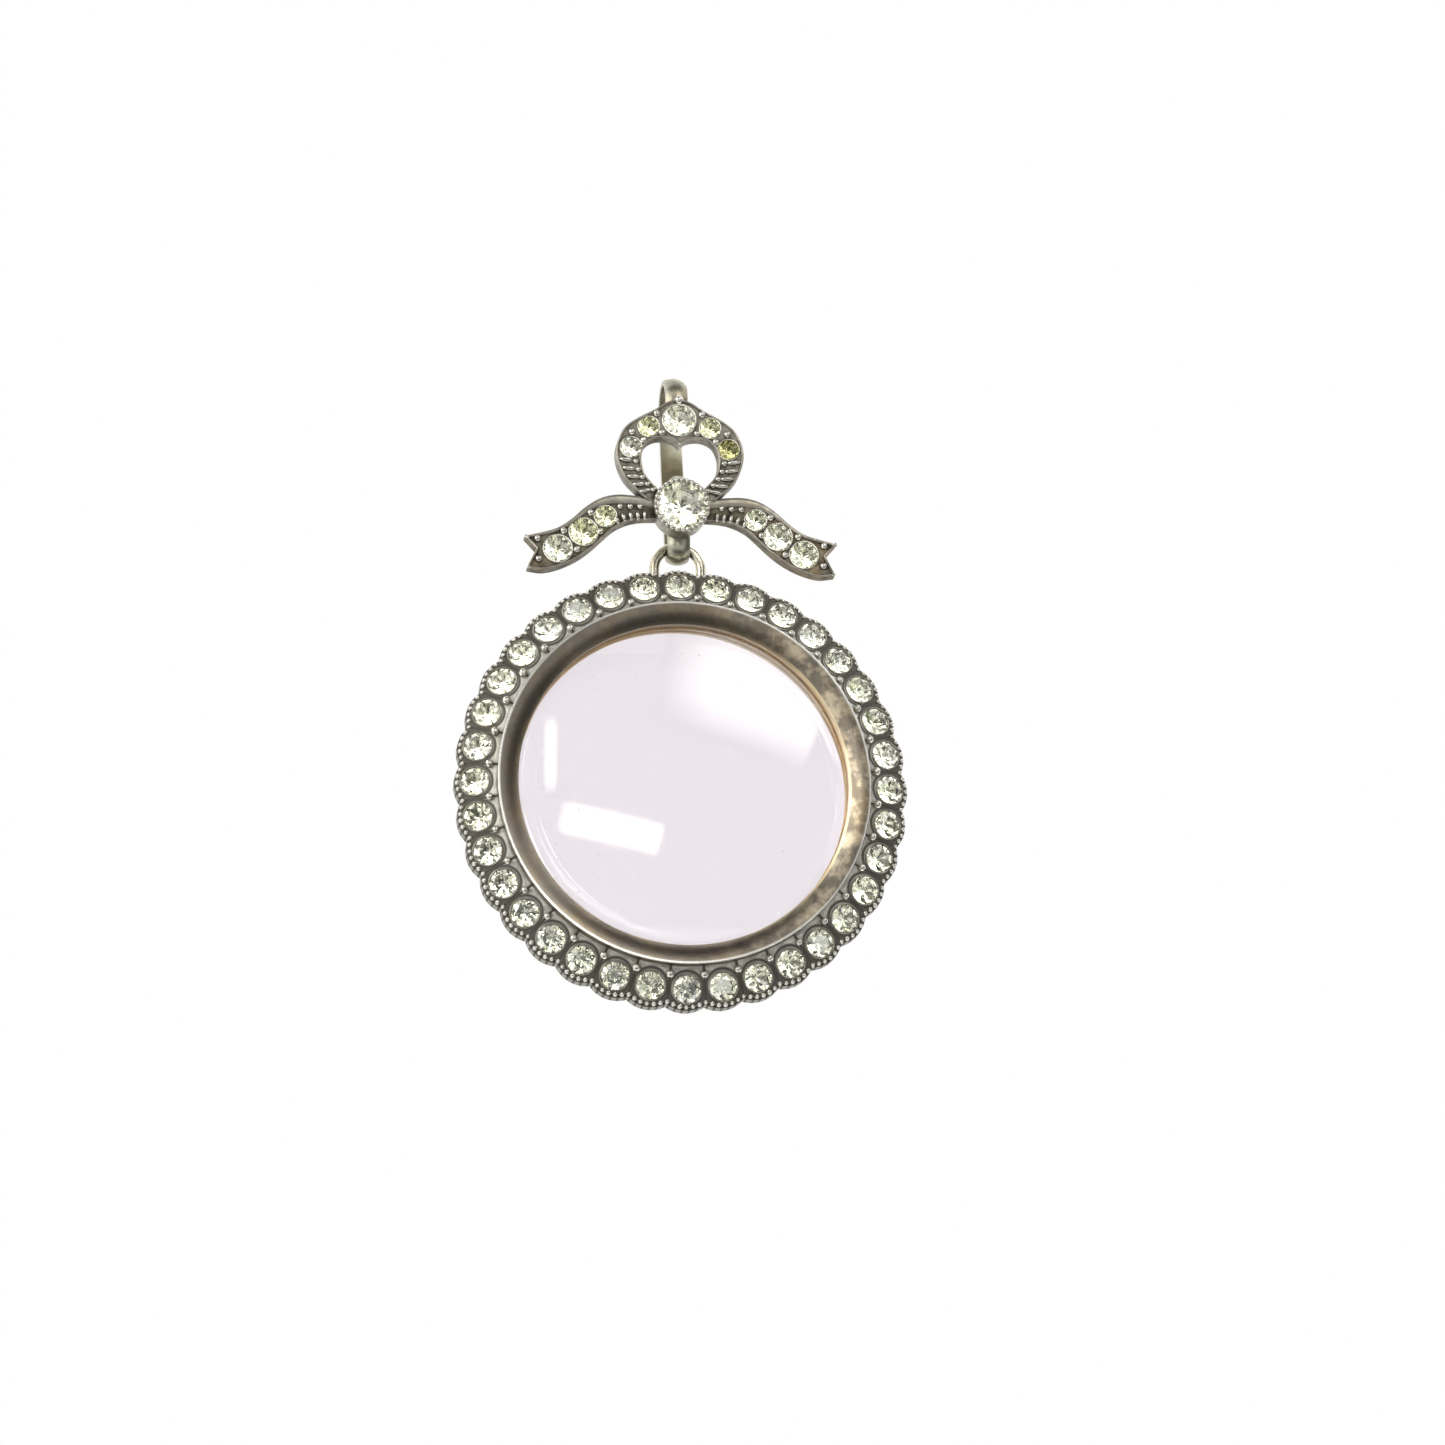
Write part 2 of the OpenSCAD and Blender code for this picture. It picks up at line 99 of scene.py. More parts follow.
# --- places in the object, in millimetres, as the part's source has them ---
CASE_Y = 0.2
WINDOW_R = 14.0
DOME_RISE = 1.3
GLASS_T = 0.7
GLASS_SEAT_H = 1.75
FLANGE_T = 0.5
GLASS_R = 14.87
STONES_ROUND = 36
RING_R = 17.6
CASE_R = 15.8
BEZEL_EDGE_H = 3.02
HALO_R = 19.25
SCALLOP_R = 2.8
LEDGE_W = 0.23
BEAD_TURN = math.radians(12.6)
HALO_STONE_R = 1.25
HALO_SLOPE = math.radians(18)
HALO_EDGE_H = 0.85
BOW_BACK_Y = -1.45
LOOPS_T = 1.3
TAILS_T = 1.15
KNOT_H = 2.15
KNOT_LIP_R = 2.42

case_low, case_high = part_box("case_band")
knot_low, knot_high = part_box("knot_collet")
CASE_Z = (case_low[2] + case_high[2]) / 2 / MM
KNOT_Z = (knot_low[2] + knot_high[2]) / 2 / MM
LOOPS_Y = BOW_BACK_Y - LOOPS_T
TAILS_Y = BOW_BACK_Y - TAILS_T

# Outlines and stones of the bow as [x, z] from the knot's middle, at +x.
LOOP_OUTER = [(0, 9.85), (1.0, 9.55), (2.0, 8.9), (3.7, 7.95), (4.7, 7.15),
              (5.3, 6.0), (5.5, 4.8), (5.25, 3.55), (4.6, 2.3), (2.9, 0.6)]
LOOP_INNER = [(0, 5.5), (0.45, 6.0), (1.2, 6.25), (2.1, 6.2), (2.9, 5.7),
              (3.3, 4.7), (3.25, 3.6), (2.8, 2.6), (1.5, 1.2)]
TAIL_UPPER = [(2.0, 0.8), (4.2, 1.05), (5.7, 1.05), (7.0, 0.65), (8.2, -0.15),
              (9.4, -1.25), (10.6, -2.05), (12.0, -2.5), (13.4, -2.85)]
TAIL_NOTCH = (12.4, -3.95)
TAIL_LOWER = [(13.2, -5.65), (11.8, -5.8), (10.3, -5.4), (8.9, -4.7), (7.7, -3.8),
              (6.6, -2.75), (5.5, -1.8), (3.9, -1.15), (2.0, -1.0)]
LOOP_STONES = [(2.65, 7.25, 0.9), (4.2, 5.35, 0.9)]
TAIL_STONES = [(8.35, -2.35, 1.2), (10.55, -3.9, 1.2), (6.45, -0.9, 0.925)]
TOP_STONE = (0, 7.9, 1.4)


# --- camera ---
DISTANCE = 0.45
START_LENS = 133.0
CAMERA_ROUNDS = 8
AZIMUTH = math.radians(-8)
ELEVATION = math.radians(-17)
ROLL = math.radians(-1)
SENSOR = 36.0
SHIFT_X = 0.0
SHIFT_Y = 0.0


def cad_points():
    """Every corner of the CAD nodes that show, as one array of rows x, y, z in metres."""
    rows = []
    for node in frame["nodes"].values():
        flat = np.empty(3 * len(node.data.vertices))
        node.data.vertices.foreach_get("co", flat)
        world = np.array(node.matrix_world)
        rows.append(flat.reshape(-1, 3) @ world[:3, :3].T + world[:3, 3])
    return np.concatenate(rows)


def aimed(middle, lens, aim):
    """Turn and place of a camera at DISTANCE from the middle, so that the middle shows aim pixels from
    the centre."""
    back = Vector((math.sin(AZIMUTH) * math.cos(ELEVATION), -math.cos(AZIMUTH) * math.cos(ELEVATION),
                   math.sin(ELEVATION)))
    right = Vector((0, 0, 1)).cross(back).normalized()
    up = back.cross(right)
    turned_right = math.cos(ROLL) * right + math.sin(ROLL) * up
    turned_up = math.cos(ROLL) * up - math.sin(ROLL) * right
    level = Matrix((turned_right, turned_up, back)).transposed()
    ray = Vector((aim[0], -aim[1], -L * lens / SENSOR)).normalized()
    turn = level @ ray.rotation_difference(Vector((0, 0, -1))).to_matrix()
    return turn, Vector(middle) + DISTANCE * back


def seen_at(points, lens, turn, place):
    """Image x and y of rows of points: each is brought into the camera's axes and divided by its depth."""
    local = (points - np.array(place)) @ np.array(turn)
    scale = L * lens / SENSOR / -local[:, 2]
    x = W / 2 - SHIFT_X * L + scale * local[:, 0]
    y = H / 2 + SHIFT_Y * L - scale * local[:, 1]
    return np.stack([x, y], 1)


def settle_camera():
    """Lens and aim that bring the object's left, right, top and bottom to the image points, by repeated
    correction."""
    solid = cad_points()
    middle = (solid.min(0) + solid.max(0)) / 2
    lens, aim = START_LENS, np.zeros(2)
    wanted = np.array([(EDGES["left"] + EDGES["right"]) / 2, (EDGES["top"] + EDGES["bottom"]) / 2])
    for _ in range(CAMERA_ROUNDS):
        turn, place = aimed(middle, lens, aim)
        seen = seen_at(solid, lens, turn, place)
        low, high = seen.min(0), seen.max(0)
        aim = aim + wanted - (low + high) / 2
        lens = lens * (EDGES["right"] - EDGES["left"]) / (high[0] - low[0])
    turn, place = aimed(middle, lens, aim)
    return lens, turn, place


def make_camera(lens, turn, place):
    """The scene's camera, at the given lens, turn and place."""
    data = bpy.data.cameras.new("camera")
    data.lens = lens
    data.sensor_width = SENSOR
    data.sensor_fit = "AUTO"
    data.shift_x = SHIFT_X
    data.shift_y = SHIFT_Y
    data.clip_start = 0.01
    data.clip_end = 50
    camera = bpy.data.objects.new("camera", data)
    camera.matrix_world = Matrix.Translation(place) @ turn.to_4x4()
    bpy.context.scene.collection.objects.link(camera)
    bpy.context.scene.camera = camera


LENS, TURN, PLACE = settle_camera()
make_camera(LENS, TURN, PLACE)


SEARCH_STEP = 0.002
SEARCH_STEPS = 30


def place_on(name, carrier):
    """Where the ray through the named image point meets the carrier's surface, or the place on it nearest
    the ray."""
    x, y = POINTS[name]
    ray = Vector((x - W / 2 + SHIFT_X * L, H / 2 - y + SHIFT_Y * L, -L * LENS / SENSOR))
    ray = (TURN @ ray).normalized()
    mesh = carrier.data
    tree = BVHTree.FromPolygons([carrier.matrix_world @ v.co for v in mesh.vertices],
                                [tuple(p.vertices) for p in mesh.polygons])
    hit = tree.ray_cast(PLACE, ray)[0]
    if hit is None:
        steps = [PLACE + ray * (DISTANCE + SEARCH_STEP * k) for k in range(-SEARCH_STEPS, SEARCH_STEPS + 1)]
        near = [(tree.find_nearest(step), step) for step in steps]
        hit = min(near, key=lambda pair: (pair[0][0] - pair[1]).length)[0][0]
    return np.array(hit) / MM


# --- making meshes ---
def make_piece(name, vertices, faces, body, material, smooth=True):
    """A mesh object at the origin from rows of vertices in millimetres, riding on a body."""
    mesh = bpy.data.meshes.new(name)
    mesh.from_pydata((np.asarray(vertices) * MM).tolist(), [], faces)
    mesh.update()
    mesh.shade_smooth() if smooth else mesh.shade_flat()
    piece = bpy.data.objects.new(name, mesh)
    bpy.context.scene.collection.objects.link(piece)
    mesh.materials.append(material)
    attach(piece, body)
    return piece


def ball(around, rings):
    """Unit ball on a grid of longitude and latitude, with a single corner at each pole and fans to it."""
    lon = np.arange(around) * 2 * np.pi / around
    lat = np.linspace(-np.pi / 2, np.pi / 2, rings + 2)[1:-1]
    grid = np.stack([np.outer(np.cos(lat), np.cos(lon)), np.outer(np.cos(lat), np.sin(lon)),
                     np.outer(np.sin(lat), np.ones(around))], -1).reshape(-1, 3)
    vertices = np.concatenate([grid, [[0, 0, -1], [0, 0, 1]]])
    k = np.arange(around)
    step = (k + 1) % around
    row = np.arange(rings - 1)[:, None] * around
    quads = np.stack([row + k, row + step, row + around + step, row + around + k], -1).reshape(-1, 4)
    south = np.stack([np.full(around, len(grid)), step, k], -1)
    top = (rings - 1) * around
    north = np.stack([np.full(around, len(grid) + 1), top + k, top + step], -1)
    return vertices, quads, np.concatenate([south, north])


def tube(around, sides, wire):
    """Ring of radius 1 round the Z axis: a circle of radius wire carried round it on a grid of two angles."""
    a = (np.arange(around) * 2 * np.pi / around)[:, None]
    b = (np.arange(sides) * 2 * np.pi / sides)[None, :]
    out = 1 + wire * np.cos(b)
    vertices = np.stack([out * np.cos(a), out * np.sin(a), wire * np.sin(b) + 0 * a], -1).reshape(-1, 3)
    i = np.arange(around)[:, None] * sides
    j = np.arange(sides)[None, :]
    i2 = (np.arange(around)[:, None] + 1) % around * sides
    j2 = (j + 1) % sides
    quads = np.stack([i + j, i2 + j, i2 + j2, i + j2], -1).reshape(-1, 4)
    return vertices, quads, np.zeros((0, 3), int)


def repeated(shape, centres, frames, sizes):
    """Copies of a shape: its corners are scaled by each size, turned by each frame and moved to each
    centre. One size may serve for all."""
    vertices, quads, tris = shape
    sizes = np.broadcast_to(np.asarray(sizes, float), (len(centres), 3))
    placed = np.einsum("nij,nvj->nvi", frames, vertices[None] * sizes[:, None]) + np.asarray(centres)[:, None]
    shift = np.arange(len(centres))[:, None, None] * len(vertices)
    faces = (quads[None] + shift).reshape(-1, 4).tolist() + (tris[None] + shift).reshape(-1, 3).tolist()
    return placed.reshape(-1, 3), faces


def dotted(name, around_rings, centres, sizes, body, material, frames=None):
    """A piece of balls at the centres, each of one radius or of three, which stand upright unless frames
    turn them."""
    if frames is None:
        frames = np.broadcast_to(np.eye(3), (len(centres), 3, 3))
    sizes = np.repeat(sizes[:, None], 3, 1) if np.ndim(sizes) == 1 else sizes
    vertices, faces = repeated(ball(*around_rings), centres, frames, sizes)
    return make_piece(name, vertices, faces, body, material)


def facing(along, front):
    """Frames whose X runs along each row, Z points at its front and Y completes them."""
    front = front / np.linalg.norm(front, axis=-1, keepdims=True)
    side = np.cross(front, along)
    side = side / np.linalg.norm(side, axis=-1, keepdims=True)
    return np.stack([np.cross(side, front), side, front], -1)


def flat_frames(angles):
    """Frames that face the wearer's front, with X turned by each angle from the +X axis towards +Z."""
    angles = np.asarray(angles, float)
    along = np.stack([np.cos(angles), 0 * angles, np.sin(angles)], -1)
    return facing(along, np.broadcast_to([0.0, -1.0, 0.0], along.shape))


def curve(points, n=6):
    """Smooth curve through the points, n steps to a stretch: each stretch is the cubic that has, at each
    of its two points, the slope between that point's neighbours."""
    p = np.array(points, float)
    a = p[np.maximum(np.arange(len(p) - 1) - 1, 0)][:, None]
    b, c = p[:-1][:, None], p[1:][:, None]
    d = p[np.minimum(np.arange(len(p) - 1) + 2, len(p) - 1)][:, None]
    t = (np.arange(n) / n)[None, :, None]
    stretch = 0.5 * (2 * b + t * (c - a) + t**2 * (2 * a - 5 * b + 4 * c - d)
                     + t**3 * (3 * b - a - 3 * c + d))
    return np.concatenate([stretch.reshape(-1, 2), p[-1:]])


def moulding(path, y, profile, widths=None, closed=False):
    """A closed profile carried along a flat path at depth y: its first number, times the width there, is
    set off square to the path's left, and its second forward. Open ends are closed by a face."""
    path = np.asarray(path, float)
    if closed:
        run = np.roll(path, -1, 0) - np.roll(path, 1, 0)
    else:
        run = np.gradient(path, axis=0)
    run = run / np.linalg.norm(run, axis=1, keepdims=True)
    left = np.stack([-run[:, 1], run[:, 0]], 1)
    side = np.array([q[0] for q in profile])
    fore = np.array([q[1] for q in profile])
    side = side * (np.ones(len(path)) if widths is None else np.asarray(widths))[:, None]
    x = path[:, None, 0] + left[:, None, 0] * side
    z = path[:, None, 1] + left[:, None, 1] * side
    vertices = np.stack([x, y - fore + 0 * x, z], -1).reshape(-1, 3)
    n, m = len(path), len(profile)
    i = np.arange(n if closed else n - 1)[:, None] * m
    i2 = (np.arange(n if closed else n - 1)[:, None] + 1) % n * m
    j = np.arange(m)[None, :]
    j2 = (j + 1) % m
    faces = np.stack([i + j, i + j2, i2 + j2, i2 + j], -1).reshape(-1, 4).tolist()
    if not closed:
        faces += [list(range(m))[::-1], list(range((n - 1) * m, n * m))]
    return vertices, faces


def joined(parts):
    """One list of vertices and one of faces from several."""
    vertices, faces, count = [], [], 0
    for part_vertices, part_faces in parts:
        vertices.append(part_vertices)
        faces += [[k + count for k in face] for face in part_faces]
        count += len(part_vertices)
    return np.concatenate(vertices), faces


def outward(piece):
    """Turns every face of a closed piece outwards."""
    work = bmesh.new()
    work.from_mesh(piece.data)
    bmesh.ops.recalc_face_normals(work, faces=work.faces)
    work.to_mesh(piece.data)
    work.free()
    return piece


def at_knot(points):
    """Points of the bow, given from the knot's middle, in the object's own x and z."""
    return np.asarray(points, float) + [0, KNOT_Z]


def on_case(angle, radius, h):
    """A point at an angle from the top, clockwise, and a radius round the case's middle, h forward of its
    plane."""
    return np.stack([radius * np.sin(angle), CASE_Y - h + 0 * angle, CASE_Z + radius * np.cos(angle)], -1)


# --- finishes ---
def node(tree, kind, inputs=None, **settings):
    """A shader node with its settings, its inputs set to values or joined to other nodes' outputs."""
    made = tree.nodes.new(kind)
    for name, value in settings.items():
        setattr(made, name, value)
    for socket, value in (inputs or {}).items():
        if isinstance(value, bpy.types.NodeSocket):
            tree.links.new(value, made.inputs[socket])
        else:
            made.inputs[socket].default_value = value
    return made


def number(tree, operation, a, b=0.0, c=None, clamp=False):
    """The result of one sum on two or three numbers."""
    inputs = {0: a, 1: b} if c is None else {0: a, 1: b, 2: c}
    return node(tree, "ShaderNodeMath", inputs, operation=operation, use_clamp=clamp).outputs[0]


def times(tree, a, b):
    """The product of two numbers."""
    return number(tree, "MULTIPLY", a, b)


def most(tree, a, b):
    """The larger of two numbers."""
    return number(tree, "MAXIMUM", a, b)


def blend_colours(tree, amount, first, second):
    """The first colour where the amount is 0 and the second where it is 1."""
    mix = node(tree, "ShaderNodeMix", {0: amount, 6: first, 7: second}, data_type="RGBA")
    return mix.outputs[2]


def stretch(tree, value, low, high, to_low=0.0, to_high=1.0):
    """The value carried from the range low to high onto another range, and held within it."""
    return node(tree, "ShaderNodeMapRange", {0: value, 1: low, 2: high, 3: to_low, 4: to_high}).outputs[0]


def grain(tree, coordinates, size, detail=3.0, rough=0.55):
    """Noise whose lumps are about size millimetres across."""
    inputs = {"Vector": coordinates, "Scale": 1 / (size * MM), "Detail": detail, "Roughness": rough}
    return node(tree, "ShaderNodeTexNoise", inputs).outputs[0]


def hypotenuse(tree, a, b):
    """The square root of the sum of two squares."""
    return number(tree, "SQRT", number(tree, "MULTIPLY_ADD", a, a, times(tree, b, b)))


def finish(name):
    """A new material, its node tree, its Principled shader and its object coordinates."""
    material = bpy.data.materials.new(name)
    material.use_nodes = True
    tree = material.node_tree
    shader = tree.nodes["Principled BSDF"]
    coordinates = node(tree, "ShaderNodeTexCoord").outputs["Object"]
    return material, tree, shader, coordinates


BRIGHT_SILVER = (0.80, 0.77, 0.70, 1)
WORN_SILVER = (0.36, 0.335, 0.28, 1)
TARNISH = (0.05, 0.045, 0.033, 1)
WARM_TONE = (0.42, 0.31, 0.17, 1)
GILT = (0.66, 0.47, 0.20, 1)
# The bezel's gilding and gold patches, which are weighted to its right side, are partly painted warm
# reflection.
GILT_AND_REFLECTION = (0.86, 0.70, 0.42, 1)
GOLD_WEAR_AND_REFLECTION = (0.88, 0.75, 0.53, 1)
# The bezel's polished outer edge, brightened so that it is a painted highlight as well as polish.
POLISH_AND_HIGHLIGHT = (0.95, 0.93, 0.87, 1)
OLIVE = (0.54, 0.52, 0.26, 1)
YELLOWED = (0.96, 0.95, 0.70, 1)
# Stones of the bow that have changed colour, as (row, place in it, side, the plate's face, colour).
CHANGED_STONES = [(LOOP_STONES, 1, 1, LOOPS_Y, OLIVE), (LOOP_STONES, 0, 1, LOOPS_Y, YELLOWED),
                  (LOOP_STONES, 0, -1, LOOPS_Y, YELLOWED), (TAIL_STONES, 0, -1, TAILS_Y, YELLOWED),
                  (TAIL_STONES, 2, -1, TAILS_Y, YELLOWED)]
# Marks of wear, in millimetres: their sizes, and the distances from an edge between which they fade.
# GILT_BAND and GOLD_SIZE also carry a painted warm reflection, EDGE_BAND a painted highlight.
PATCH_SIZE = 4.5
MOTTLE_SIZE = 0.9
PIT_SIZE = 0.16
HAIR_SIZE = 0.8
WEAR_W = 0.09
MARK_DEPTH = 0.03
GILT_BAND = (0.24, 0.12)
GOLD_SIZE = 1.5
EDGE_BAND = (0.24, 0.1)
GROOVE_OUT = 0.2
GROOVE_BAND = (0.19, 0.07)
STREAK_SIZE = 1.6
DUST_APART = 1.7
# The glass's index of refraction, and the step to which the directions of facets are rounded.
GLASS_BEND = 1.5
FACET_STEP = 0.03


def tarnished(name, body=WORN_SILVER, polish=BRIGHT_SILVER, dark=TARNISH, warm=0.25, grime=0.55, reach=0.45,
              satin=0.36, scratch=0.25, halo_cuts_and_shade=False, bezel_wear_and_light=False, rounding=0.07):
    """Old silver: worn bright on its edges, dark where tarnish gathers in hollows, with warm toning in
    patches, fine pits and hair scratches. warm is how far the toning goes, grime how dark it gets and
    reach how many millimetres a hollow darkens what is near. satin is the roughness, scratch the hairs'
    depth beside the pits' and rounding the radius, in millimetres, that edges are shaded with. The halo's
    flag adds its cut marks and a painted shade on its outer side; the bezel's flag adds its wear, with a
    painted warm reflection in its gilding and a painted highlight on its outer edge."""
    material, tree, shader, at = finish(name)
    patches = grain(tree, at, PATCH_SIZE, 4.0)
    mottle = grain(tree, at, MOTTLE_SIZE, 5.0, 0.6)
    pits = grain(tree, at, PIT_SIZE, 3.0, 0.6)
    open_air = node(tree, "ShaderNodeAmbientOcclusion", {"Distance": reach * MM}, samples=8).outputs["AO"]
    edge = node(tree, "ShaderNodeAmbientOcclusion", {"Distance": WEAR_W * MM}, samples=6, inside=True,
                only_local=True).outputs["AO"]
    shade = stretch(tree, open_air, 0.95, 0.35)
    dirt_and_painted_light = number(tree, "MULTIPLY_ADD", stretch(tree, mottle, 0.42, 0.66), 0.45, shade)
    dirt_and_painted_light = number(tree, "MULTIPLY", dirt_and_painted_light, grime * 1.4, clamp=True)
    toned = blend_colours(tree, stretch(tree, patches, 0.46, 0.64, 0.0, warm), body, WARM_TONE)
    worn = stretch(tree, edge, 0.86, 0.55, 0.0, 0.8)
    rubbed_and_painted_light = blend_colours(tree, worn, toned, polish)
    dirt_and_painted_light = number(tree, "SUBTRACT", dirt_and_painted_light, times(tree, worn, 0.6), clamp=True)
    # The halo's marks include a painted shade on its sideways faces: it darkens the colour here and also
    # lowers the bump below.
    if halo_cuts_and_shade:
        slots = halo_cuts_and_painted_shade(tree, at)
        dirt_and_painted_light = most(tree, dirt_and_painted_light, times(tree, slots, 0.9))
    if bezel_wear_and_light:
        rubbed_and_painted_light, dirt_and_painted_light = bezel_wear_and_painted_light(tree, at, rubbed_and_painted_light, dirt_and_painted_light)
    # Tarnish darkens the colour here, and so does the halo's painted shade; the bezel's colour also carries
    # its painted highlight and painted warm reflection.
    colour = blend_colours(tree, dirt_and_painted_light, rubbed_and_painted_light, dark)
    tree.links.new(colour, shader.inputs["Base Color"])
    shader.inputs["Metallic"].default_value = 1.0
    rough = number(tree, "MULTIPLY_ADD", dirt_and_painted_light, 0.22, satin)
    rough = number(tree, "MULTIPLY_ADD", pits, 0.16, rough)
    rough = number(tree, "MULTIPLY_ADD", worn, -0.14, rough, clamp=True)
    tree.links.new(rough, shader.inputs["Roughness"])
    along = node(tree, "ShaderNodeMapping", {"Vector": at, "Scale": (1.0, 1.0, 7.0),
                                             "Rotation": (0.2, 0.5, 0.0)})
    hairs = grain(tree, along.outputs[0], HAIR_SIZE, 2.0)
    height = number(tree, "MULTIPLY_ADD", hairs, scratch, pits)
    if halo_cuts_and_shade:
        height = number(tree, "MULTIPLY_ADD", slots, -3.0, height)
    rounded = node(tree, "ShaderNodeBevel", {"Radius": rounding * MM}, samples=4)
    bump = node(tree, "ShaderNodeBump", {"Strength": 0.35, "Distance": MARK_DEPTH * MM, "Height": height,
                                         "Normal": rounded.outputs[0]})
    tree.links.new(bump.outputs[0], shader.inputs["Normal"])
    return material


def bezel_wear_and_painted_light(tree, at, rubbed_and_painted_light, dirt_and_painted_light):
    """The bezel's colour and darkening with its wear and painted light: gilding left on the innermost edge
    and, in patches, on the front, both more to the right, where they are partly a painted warm
    reflection; and an outer edge that is polished bright, which is also a painted highlight."""
    flat = node(tree, "ShaderNodeMapping", {"Vector": at, "Location": (0, 0, -CASE_Z * MM),
                                            "Scale": (1, 0, 1)})
    radius = node(tree, "ShaderNodeVectorMath", {0: flat.outputs[0]}, operation="LENGTH").outputs["Value"]
    parts = node(tree, "ShaderNodeSeparateXYZ", {0: at}).outputs
    across, depth = parts[0], parts[1]
    front_edge = (CASE_Y - BEZEL_EDGE_H) * MM
    # Gilding on the innermost edge, fading towards the left: partly a painted warm reflection on the right
    # side.
    inner_gilt_and_reflection = stretch(tree, radius, (WINDOW_R + GILT_BAND[0]) * MM, (WINDOW_R + GILT_BAND[1]) * MM)
    inner_gilt_and_reflection = times(tree, inner_gilt_and_reflection, stretch(tree, across, 3 * MM, 10 * MM, 0.12, 1.0))
    rubbed_and_painted_light = blend_colours(tree, inner_gilt_and_reflection, rubbed_and_painted_light, GILT_AND_REFLECTION)
    dirt_and_painted_light = number(tree, "MULTIPLY_ADD", inner_gilt_and_reflection, -0.8, dirt_and_painted_light, clamp=True)
    # Gold patches on the front, only right of the middle and stronger towards the right: partly a painted
    # warm reflection there.
    gold_patches_and_reflection = stretch(tree, grain(tree, at, GOLD_SIZE, 4.0, 0.6), 0.44, 0.62, 0.0, 0.75)
    gold_patches_and_reflection = times(tree, gold_patches_and_reflection, stretch(tree, across, 1 * MM, 11 * MM))
    on_front = stretch(tree, depth, front_edge + 1.3 * MM, front_edge + MM, 0.3, 1)
    rubbed_and_painted_light = blend_colours(tree, times(tree, gold_patches_and_reflection, on_front), rubbed_and_painted_light, GOLD_WEAR_AND_REFLECTION)
    # The front outer edge, polished and cleaned of tarnish, and brightened into a painted highlight.
    outer_polish_and_highlight = stretch(tree, radius, (CASE_R - EDGE_BAND[0]) * MM, (CASE_R - EDGE_BAND[1]) * MM)
    foremost = stretch(tree, depth, front_edge + 0.3 * MM, front_edge + 0.15 * MM)
    outer_polish_and_highlight = times(tree, outer_polish_and_highlight, foremost)
    rubbed_and_painted_light = blend_colours(tree, outer_polish_and_highlight, rubbed_and_painted_light, POLISH_AND_HIGHLIGHT)
    dirt_and_painted_light = number(tree, "MULTIPLY_ADD", outer_polish_and_highlight, -0.6, dirt_and_painted_light, clamp=True)
    return rubbed_and_painted_light, dirt_and_painted_light


def halo_cuts_and_painted_shade(tree, at):
    """How dark the halo is where it is cut or seldom worn: a line half-way between two stones, a groove
    round each, streaks of tarnish along the ring, all of the ground outside the stones, and slots across
    the ledge and the side below it, between the beads; and a painted shade on every part that faces
    sideways rather than forward or back, chiefly that outer side. The angle round the case tells the
    nearest scallop and how far off its middle a place is; with the radius that gives the angle about the
    scallop's own arc, which the beads divide evenly."""
    moved = node(tree, "ShaderNodeMapping", {"Vector": at, "Location": (0, 0, -CASE_Z * MM)})
    parts = node(tree, "ShaderNodeSeparateXYZ", {0: moved.outputs[0]})
    x, z = parts.outputs[0], parts.outputs[2]
    radius = hypotenuse(tree, x, z)
    angle = number(tree, "ARCTAN2", x, z)
    share = number(tree, "MULTIPLY_ADD", angle, STONES_ROUND / (2 * math.pi), STONES_ROUND + 0.5)
    off = number(tree, "SUBTRACT", number(tree, "FRACT", share), 0.5)
    between = stretch(tree, number(tree, "ABSOLUTE", off), 0.43, 0.475)
    own = times(tree, off, 2 * math.pi / STONES_ROUND)
    out_x = times(tree, radius, number(tree, "SINE", own))
    out_z = times(tree, radius, number(tree, "COSINE", own))
    out_z = number(tree, "SUBTRACT", out_z, (HALO_R - SCALLOP_R) * MM)
    reach = hypotenuse(tree, out_x, out_z)
    on_edge = stretch(tree, reach, (SCALLOP_R - LEDGE_W - 0.03) * MM, (SCALLOP_R - LEDGE_W + 0.03) * MM)
    turn = number(tree, "ARCTAN2", out_x, out_z)
    wave = number(tree, "COSINE", times(tree, turn, 2 * math.pi / BEAD_TURN))
    slots = times(tree, stretch(tree, wave, -0.1, -0.7), on_edge)
    up = number(tree, "SUBTRACT", out_z, (RING_R - HALO_R + SCALLOP_R) * MM)
    groove = number(tree, "SUBTRACT", hypotenuse(tree, out_x, up), (HALO_STONE_R + GROOVE_OUT) * MM)
    groove = number(tree, "ABSOLUTE", groove)
    groove = stretch(tree, groove, GROOVE_BAND[0] * MM, GROOVE_BAND[1] * MM, 0.0, 0.95)
    turned = {0: times(tree, radius, 9.0), 1: times(tree, angle, RING_R * MM)}
    round_case = node(tree, "ShaderNodeCombineXYZ", turned)
    streaks = stretch(tree, grain(tree, round_case.outputs[0], STREAK_SIZE, 3.0, 0.65), 0.50, 0.64, 0.0, 0.65)
    forward = node(tree, "ShaderNodeSeparateXYZ",
                   {0: node(tree, "ShaderNodeTexCoord").outputs["Normal"]}).outputs[1]
    outside = stretch(tree, radius, (RING_R - 1.1) * MM, (RING_R - 0.2) * MM, 0.0, 0.92)
    for mark in (groove, streaks, outside):
        between = most(tree, between, mark)
    between = times(tree, between, stretch(tree, forward, -0.3, -0.5))
    slots = times(tree, slots, stretch(tree, forward, 0.5, 0.3))
    # Painted shade on every part that faces sideways rather than forward or back, chiefly the outer side.
    painted_side_shade = stretch(tree, number(tree, "ABSOLUTE", forward), 0.3, 0.15, 0.0, 0.55)
    return most(tree, most(tree, between, painted_side_shade), slots)


